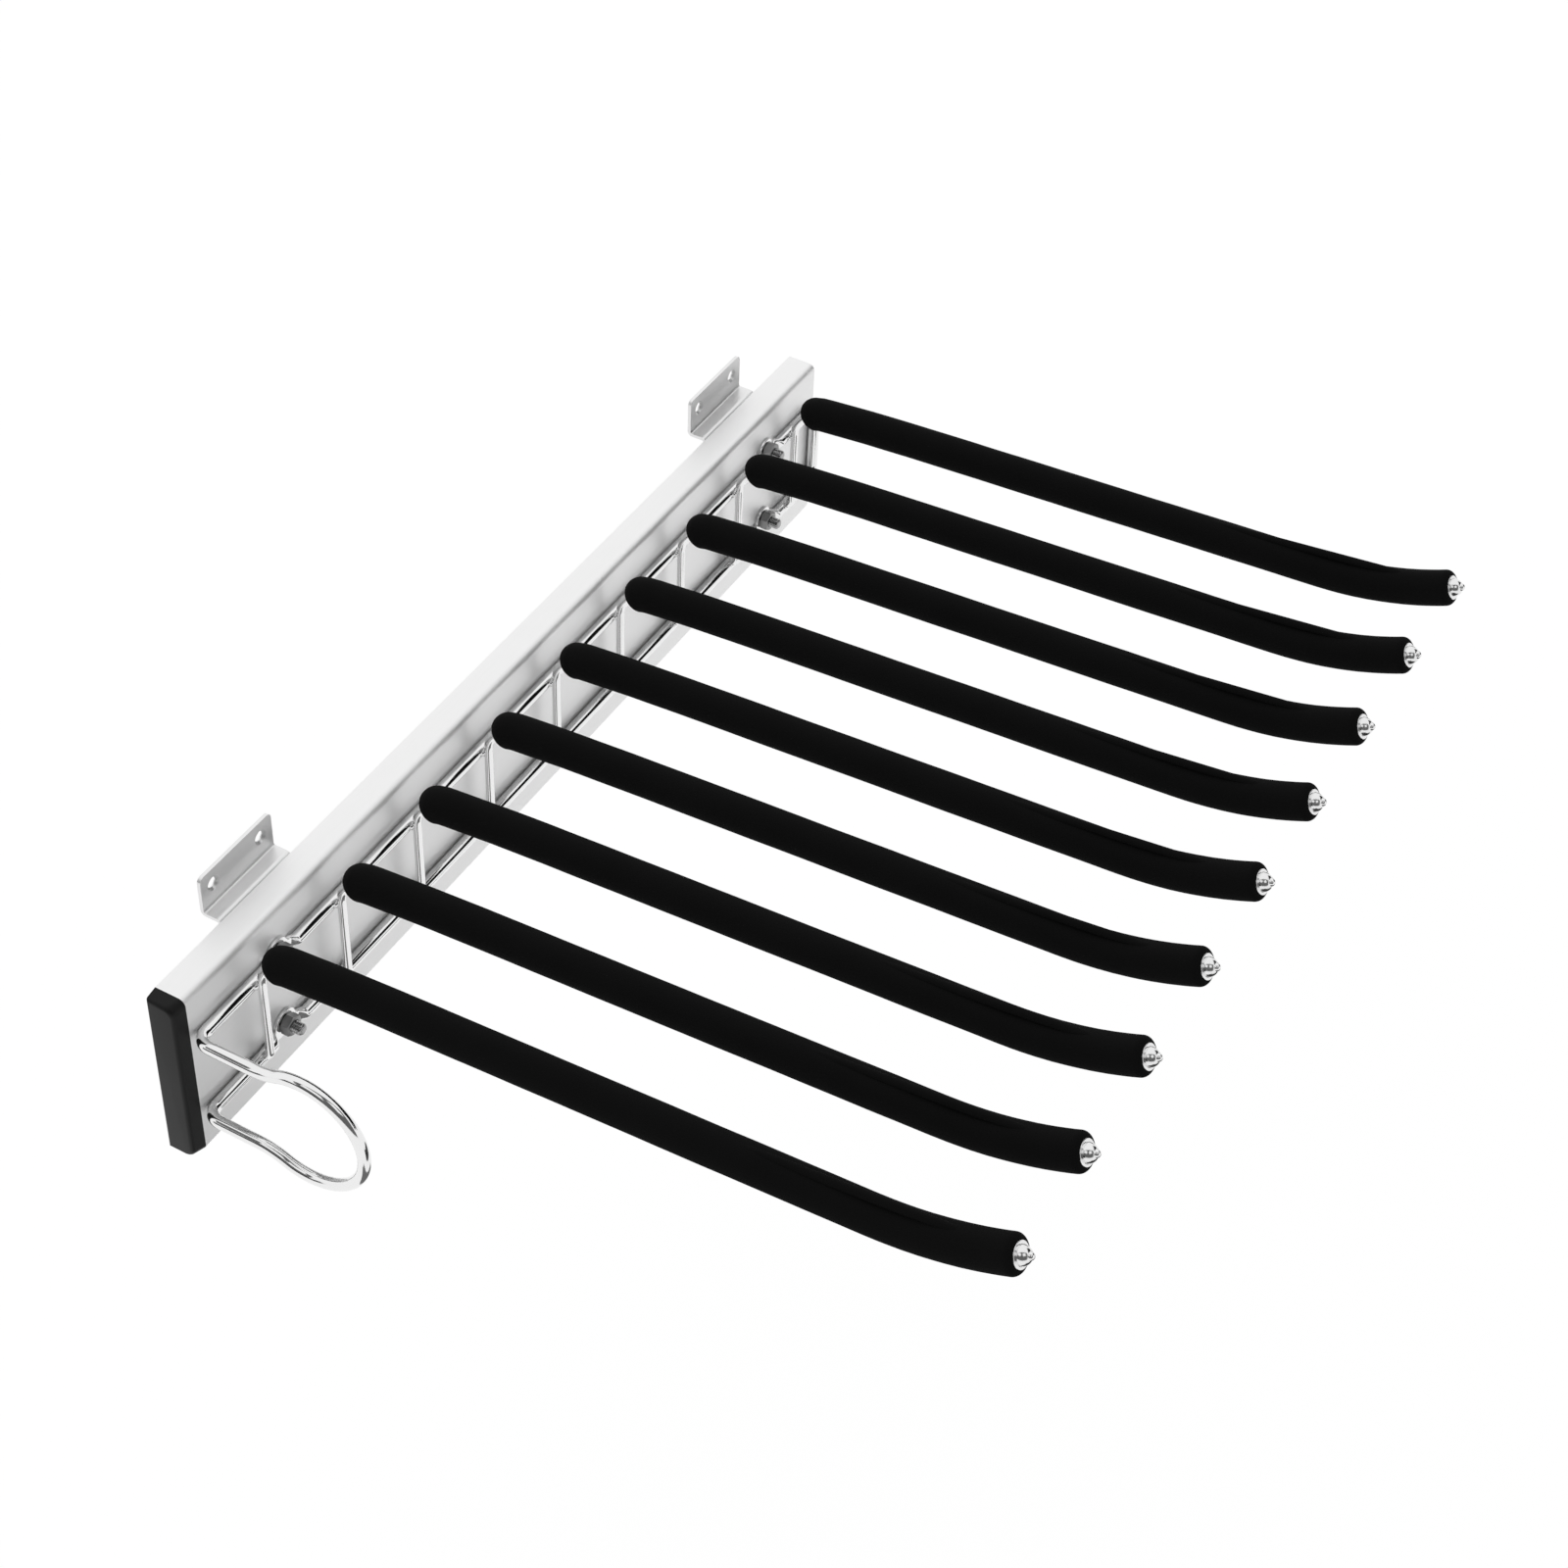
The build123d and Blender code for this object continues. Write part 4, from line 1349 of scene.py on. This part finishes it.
# ------------------------------------------------------------------ end cap
@dataclass
class EndCap:
    """Moulded cap on the cover's front end, with soft edges and two plugs behind."""

    layout: Layout
    length: float = 6 * MM
    taper: float = 1.2 * MM
    rim: float = 1.5 * MM
    base_corner: float = 3 * MM
    face_corner: float = 4.2 * MM
    plug_length: float = 5 * MM
    plug_height: float = 6 * MM
    plug_play: float = 1.35 * MM
    steps: int = 10
    rim_steps: int = 8

    def _ring(self, y: float, drawn_in: float, rounded: float,
              corner: float) -> list[tuple[float, float, float]]:
        """Outline of the cap at one depth.

        Args:
            y: the depth.
            drawn_in: inset of its top and its face by the taper.
            rounded: inset of all four sides by the front edge's rounding.
            corner: radius of the two corners away from the wall.

        Returns:
            The outline's points.
        """
        low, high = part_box("front_end_cap")
        right, top = high.x - drawn_in - rounded, high.z - drawn_in - rounded
        left, bottom = low.x + rounded, low.z + rounded
        upper = arc((right - corner, top - corner), corner, 90, 0, self.steps)
        lower = arc((right - corner, bottom + corner), corner, 0, -90, self.steps)
        return [(x, y, z) for x, z in [(left, top), *upper, *lower, (left, bottom)]]

    @staticmethod
    def _block(low: Vector, high: Vector) -> np.ndarray:
        """Two rings of a plug's box."""
        corners = [(low.x, low.z), (high.x, low.z), (high.x, high.z), (low.x, high.z)]
        return np.array([[(x, y, z) for x, z in corners] for y in (low.y, high.y)])

    def build(self) -> None:
        """Makes the cap and its plugs as one piece that rides on the carriage."""
        front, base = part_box("front_end_cap")[0].y, self.layout.cover_front
        rings = [self._ring(base, 0, 0, self.base_corner)]
        for angle in np.linspace(0, math.pi / 2, self.rim_steps + 1):
            rounded = self.rim * (1 - math.cos(angle))
            depth = front + self.rim * (1 - math.sin(angle))
            drawn_in = self.taper * (base - depth) / self.length
            rings.append(self._ring(depth, drawn_in, rounded, self.face_corner - rounded))
        name = "tapered_end_cap"
        cap = linked(bpy.data.objects.new(name, grid_mesh(name, np.array(rings), closed=False)))
        low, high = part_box("front_end_cap")
        right = high.x - self.base_corner
        top, bottom = high.z - self.plug_play, low.z + self.plug_play
        plugs = [self._block(Vector((low.x, base, z)),
                             Vector((right, base + self.plug_length, z + self.plug_height)))
                 for z in (top - self.plug_height, bottom)]
        joined_with(cap, [grid_mesh("plug", plug, closed=False) for plug in plugs])
        cap.data.materials.append(CAP_PLASTIC.material())
        settle(cap, Body.CARRIAGE, ["front_end_cap"])


# ------------------------------------------------------------------ frame nodes kept as they are
@dataclass(frozen=True)
class DressedNodes:
    """Nodes of the frame whose shape stays, and which get a finish here."""

    finishes: tuple[tuple[str, Finish], ...] = (
        ("cover_profile", SATIN_COVER),
        ("front_wall_bracket", ZINC_BRACKET),
        ("rear_wall_bracket", ZINC_BRACKET),
        ("bracket_rivets", ZINC_SLIDE),
        ("cover_rivets", ZINC_SLIDE),
        ("slide_outer_member", ZINC_SLIDE),
        ("slide_middle_member", ZINC_SLIDE),
        ("slide_inner_member", ZINC_SLIDE),
        ("outer_ball_retainers", RETAINER_STEEL),
        ("inner_ball_retainers", RETAINER_STEEL),
        ("outer_slide_balls", BALL_STEEL),
        ("inner_slide_balls", BALL_STEEL),
        ("outer_rear_buffer", BUFFER_RUBBER),
        ("middle_rear_buffer", BUFFER_RUBBER),
    )

    def build(self) -> None:
        """Gives each node its finish."""
        for name, finish in self.finishes:
            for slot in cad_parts[name].material_slots:
                slot.material = finish.material()
            log.info("%s: %s", name, finish.name)


# ------------------------------------------------------------------ studio
@dataclass(frozen=True)
class HungCard:
    """A card or soft box hung round the rack: its direction in degrees, distance, size and grey."""

    name: str
    azimuth: float
    elevation: float
    distance: float
    width: float
    height: float
    grey: float


@dataclass(frozen=True)
class FloorCard:
    """A grey card held level over the floor: its centre, height, size and grey."""

    name: str
    x: float
    y: float
    z: float
    width: float
    depth: float
    grey: float


@dataclass(frozen=True)
class SoftLamp:
    """A square soft lamp: its place from the rack's middle, its size and its face's brightness."""

    name: str
    offset: tuple[float, float, float]
    size: float
    brightness: float


@dataclass
class Studio:
    """Pale floor, white surroundings, soft lamps, dark cards for the metal, and the camera."""

    floor_drop: float = 0.25
    floor_size: float = 12.0
    floor_grey: float = 0.9
    floor_white: float = 0.9
    floor_glow: float = 1.05
    room_light: float = 0.45
    focal_length: float = 68.28
    sensor: float = 36.0
    seen_from: float = 0.05
    seen_to: float = 50.0
    camera_place: tuple[float, float, float] = (0.530711, -0.584496, 0.774775)
    camera_right: tuple[float, float, float] = (0.868098, 0.494905, 0.038409)
    camera_down: tuple[float, float, float] = (0.364847, -0.583669, -0.725408)
    aim: Vector = field(default_factory=lambda: Vector((0.08, 0.17, -0.04)))
    hung_cards: tuple[HungCard, ...] = (
        HungCard("card_back_right", 48, 20, 3.0, 2.4, 1.9, 0.01),
        HungCard("card_in_front", -110, 7, 1.6, 1.0, 0.45, 0.06),
        HungCard("card_behind_camera", -62, 36, 2.6, 6.4, 4.2, 0.13),
        HungCard("soft_box_left", -97, 46, 1.9, 1.0, 0.8, 1.0),
        HungCard("soft_box_right", -34, 46, 1.9, 0.8, 0.8, 1.0),
    )
    floor_cards: tuple[FloorCard, ...] = (
        FloorCard("card_under_legs", 0.16, -0.07, -0.305, 0.12, 0.38, 0.16),
        FloorCard("card_under_tips", 0.53, 0.135, -0.305, 0.32, 0.55, 0.04),
    )

    lamps: tuple[SoftLamp, ...] = (
        SoftLamp("lamp_above_back", (-0.62, 1.2, 1.28), 1.7, 1.0),
        SoftLamp("lamp_in_front", (-0.7, -1.6, 0.9), 1.0, 1.6),
        SoftLamp("lamp_front_right", (1.3, -0.9, 1.6), 0.9, 0.7),
    )

    def _camera(self) -> None:
        """Camera at a three-quarter view from above, in front of the arms."""
        data = bpy.data.cameras.new("camera")
        data.lens, data.sensor_width = self.focal_length, self.sensor
        data.clip_start, data.clip_end = self.seen_from, self.seen_to
        camera = linked(bpy.data.objects.new("camera", data))
        right, up = Vector(self.camera_right), -Vector(self.camera_down)
        back = right.cross(up)
        turned = Matrix((right, up, back)).transposed().to_4x4()
        camera.matrix_world = Matrix.Translation(self.camera_place) @ turned
        bpy.context.scene.camera = camera

    def _world(self) -> None:
        """White where it is seen, and a softer grey where it lights things."""
        world = bpy.data.worlds.new("studio")
        graph = ShaderGraph.emptied(world)
        white = (1, 1, 1, 1)
        seen = graph.node("ShaderNodeBackground", None, {"Color": white, "Strength": 1.0})
        lit = graph.node("ShaderNodeBackground", None, {"Color": white, "Strength": self.room_light})
        mixed = graph.node("ShaderNodeMixShader", None,
                           {0: graph.seen_directly(), 1: lit.outputs[0], 2: seen.outputs[0]})
        graph.node("ShaderNodeOutputWorld", None, {"Surface": mixed.outputs[0]})
        bpy.context.scene.world = world

    def _floor(self) -> None:
        """Pale floor below the rack, which keeps a soft shadow."""
        place = Vector((self.aim.x, self.aim.y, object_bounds()[0].z - self.floor_drop))
        floor = self._card("floor", place, Z_AXIS, self.floor_size, self.floor_size)
        made = bpy.data.materials.new("pale_floor")
        graph = ShaderGraph.emptied(made)
        matt = graph.node("ShaderNodeBsdfDiffuse", None, {"Color": (*(self.floor_grey,) * 3, 1)})
        white = graph.node("ShaderNodeEmission", None, {"Color": (1, 1, 1, 1), "Strength": self.floor_glow})
        mixed = graph.node("ShaderNodeMixShader", None, {
            0: graph.seen_directly() * self.floor_white, 1: matt.outputs[0], 2: white.outputs[0],
        })
        graph.node("ShaderNodeOutputMaterial", None, {"Surface": mixed.outputs[0]})
        floor.data.materials.append(made)

    @staticmethod
    def _card(name: str, place: Vector, facing: Vector, width: float, height: float) -> bpy.types.Object:
        """Makes a flat rectangle of the studio.

        Args:
            name: its name.
            place: its centre.
            facing: the way its front looks.
            width: its size across.
            height: its size upwards, or in depth where it lies level.

        Returns:
            The rectangle.
        """
        mesh = bpy.data.meshes.new(name)
        corners = [(-width / 2, -height / 2, 0), (width / 2, -height / 2, 0),
                   (width / 2, height / 2, 0), (-width / 2, height / 2, 0)]
        mesh.from_pydata(corners, [], [(0, 1, 2, 3)])
        mesh.transform(Matrix.Translation(place) @ facing.to_track_quat("Z", "Y").to_matrix().to_4x4())
        card = linked(bpy.data.objects.new(name, mesh))
        card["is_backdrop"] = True
        return card

    def _hang(self, card: HungCard) -> None:
        """Hangs a card round the rack.

        Args:
            card: the card.
        """
        turn, rise = math.radians(card.azimuth), math.radians(card.elevation)
        way = Vector((math.cos(rise) * math.cos(turn), math.cos(rise) * math.sin(turn), math.sin(rise)))
        item = self._card(card.name, self.aim + card.distance * way, -way, card.width, card.height)
        self._show_to_metal(item, card.grey)

    def _lay(self, card: FloorCard) -> None:
        """Holds a card over the floor."""
        item = self._card(card.name, Vector((card.x, card.y, card.z)), Z_AXIS, card.width, card.depth)
        self._show_to_metal(item, card.grey)

    @staticmethod
    def _show_to_metal(item: bpy.types.Object, grey: float) -> None:
        """Gives a card an even grey that only polished metal sees.

        Args:
            item: the card's object.
            grey: its brightness in a mirror.
        """
        made = bpy.data.materials.new(item.name)
        graph = ShaderGraph.emptied(made)
        dark = graph.node("ShaderNodeEmission", None, {"Color": (grey, grey, grey, 1), "Strength": 1.0})
        graph.node("ShaderNodeOutputMaterial", None, {"Surface": dark.outputs[0]})
        item.data.materials.append(made)
        item.visible_camera = item.visible_diffuse = item.visible_shadow = False
        item.visible_transmission = item.visible_volume_scatter = False

    def _light(self, lamp: SoftLamp) -> None:
        """Sets up a lamp that looks at the rack and that metal doesn't see.

        Args:
            lamp: the lamp.
        """
        data = bpy.data.lights.new(lamp.name, "AREA")
        data.shape = "SQUARE"
        data.size = lamp.size
        data.energy = lamp.brightness * math.pi * lamp.size**2
        item = linked(bpy.data.objects.new(lamp.name, data))
        item.location = self.aim + Vector(lamp.offset)
        item.visible_glossy = False
        item.rotation_euler = (-Vector(lamp.offset)).to_track_quat("-Z", "Y").to_euler()

    def build(self) -> None:
        """Sets up the whole studio."""
        scene = bpy.context.scene
        scene.view_settings.view_transform = "Standard"
        self._camera()
        self._world()
        self._floor()
        for lamp in self.lamps:
            self._light(lamp)
        for card in self.hung_cards:
            self._hang(card)
        for card in self.floor_cards:
            self._lay(card)


# ------------------------------------------------------------------ the whole rack
def main() -> None:
    """Builds the rack's looks on its frame."""
    logging.basicConfig(level=logging.INFO, format="%(name)s: %(message)s")
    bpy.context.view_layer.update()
    layout = Layout.from_frame()
    workshop = Workshop()
    Studio().build()
    DressedNodes().build()
    WireFrame(layout).build(workshop)
    Arms(layout).build(workshop)
    FrameFasteners(layout).build(workshop)
    EndCap(layout).build()


if __name__ == "__main__":
    main()
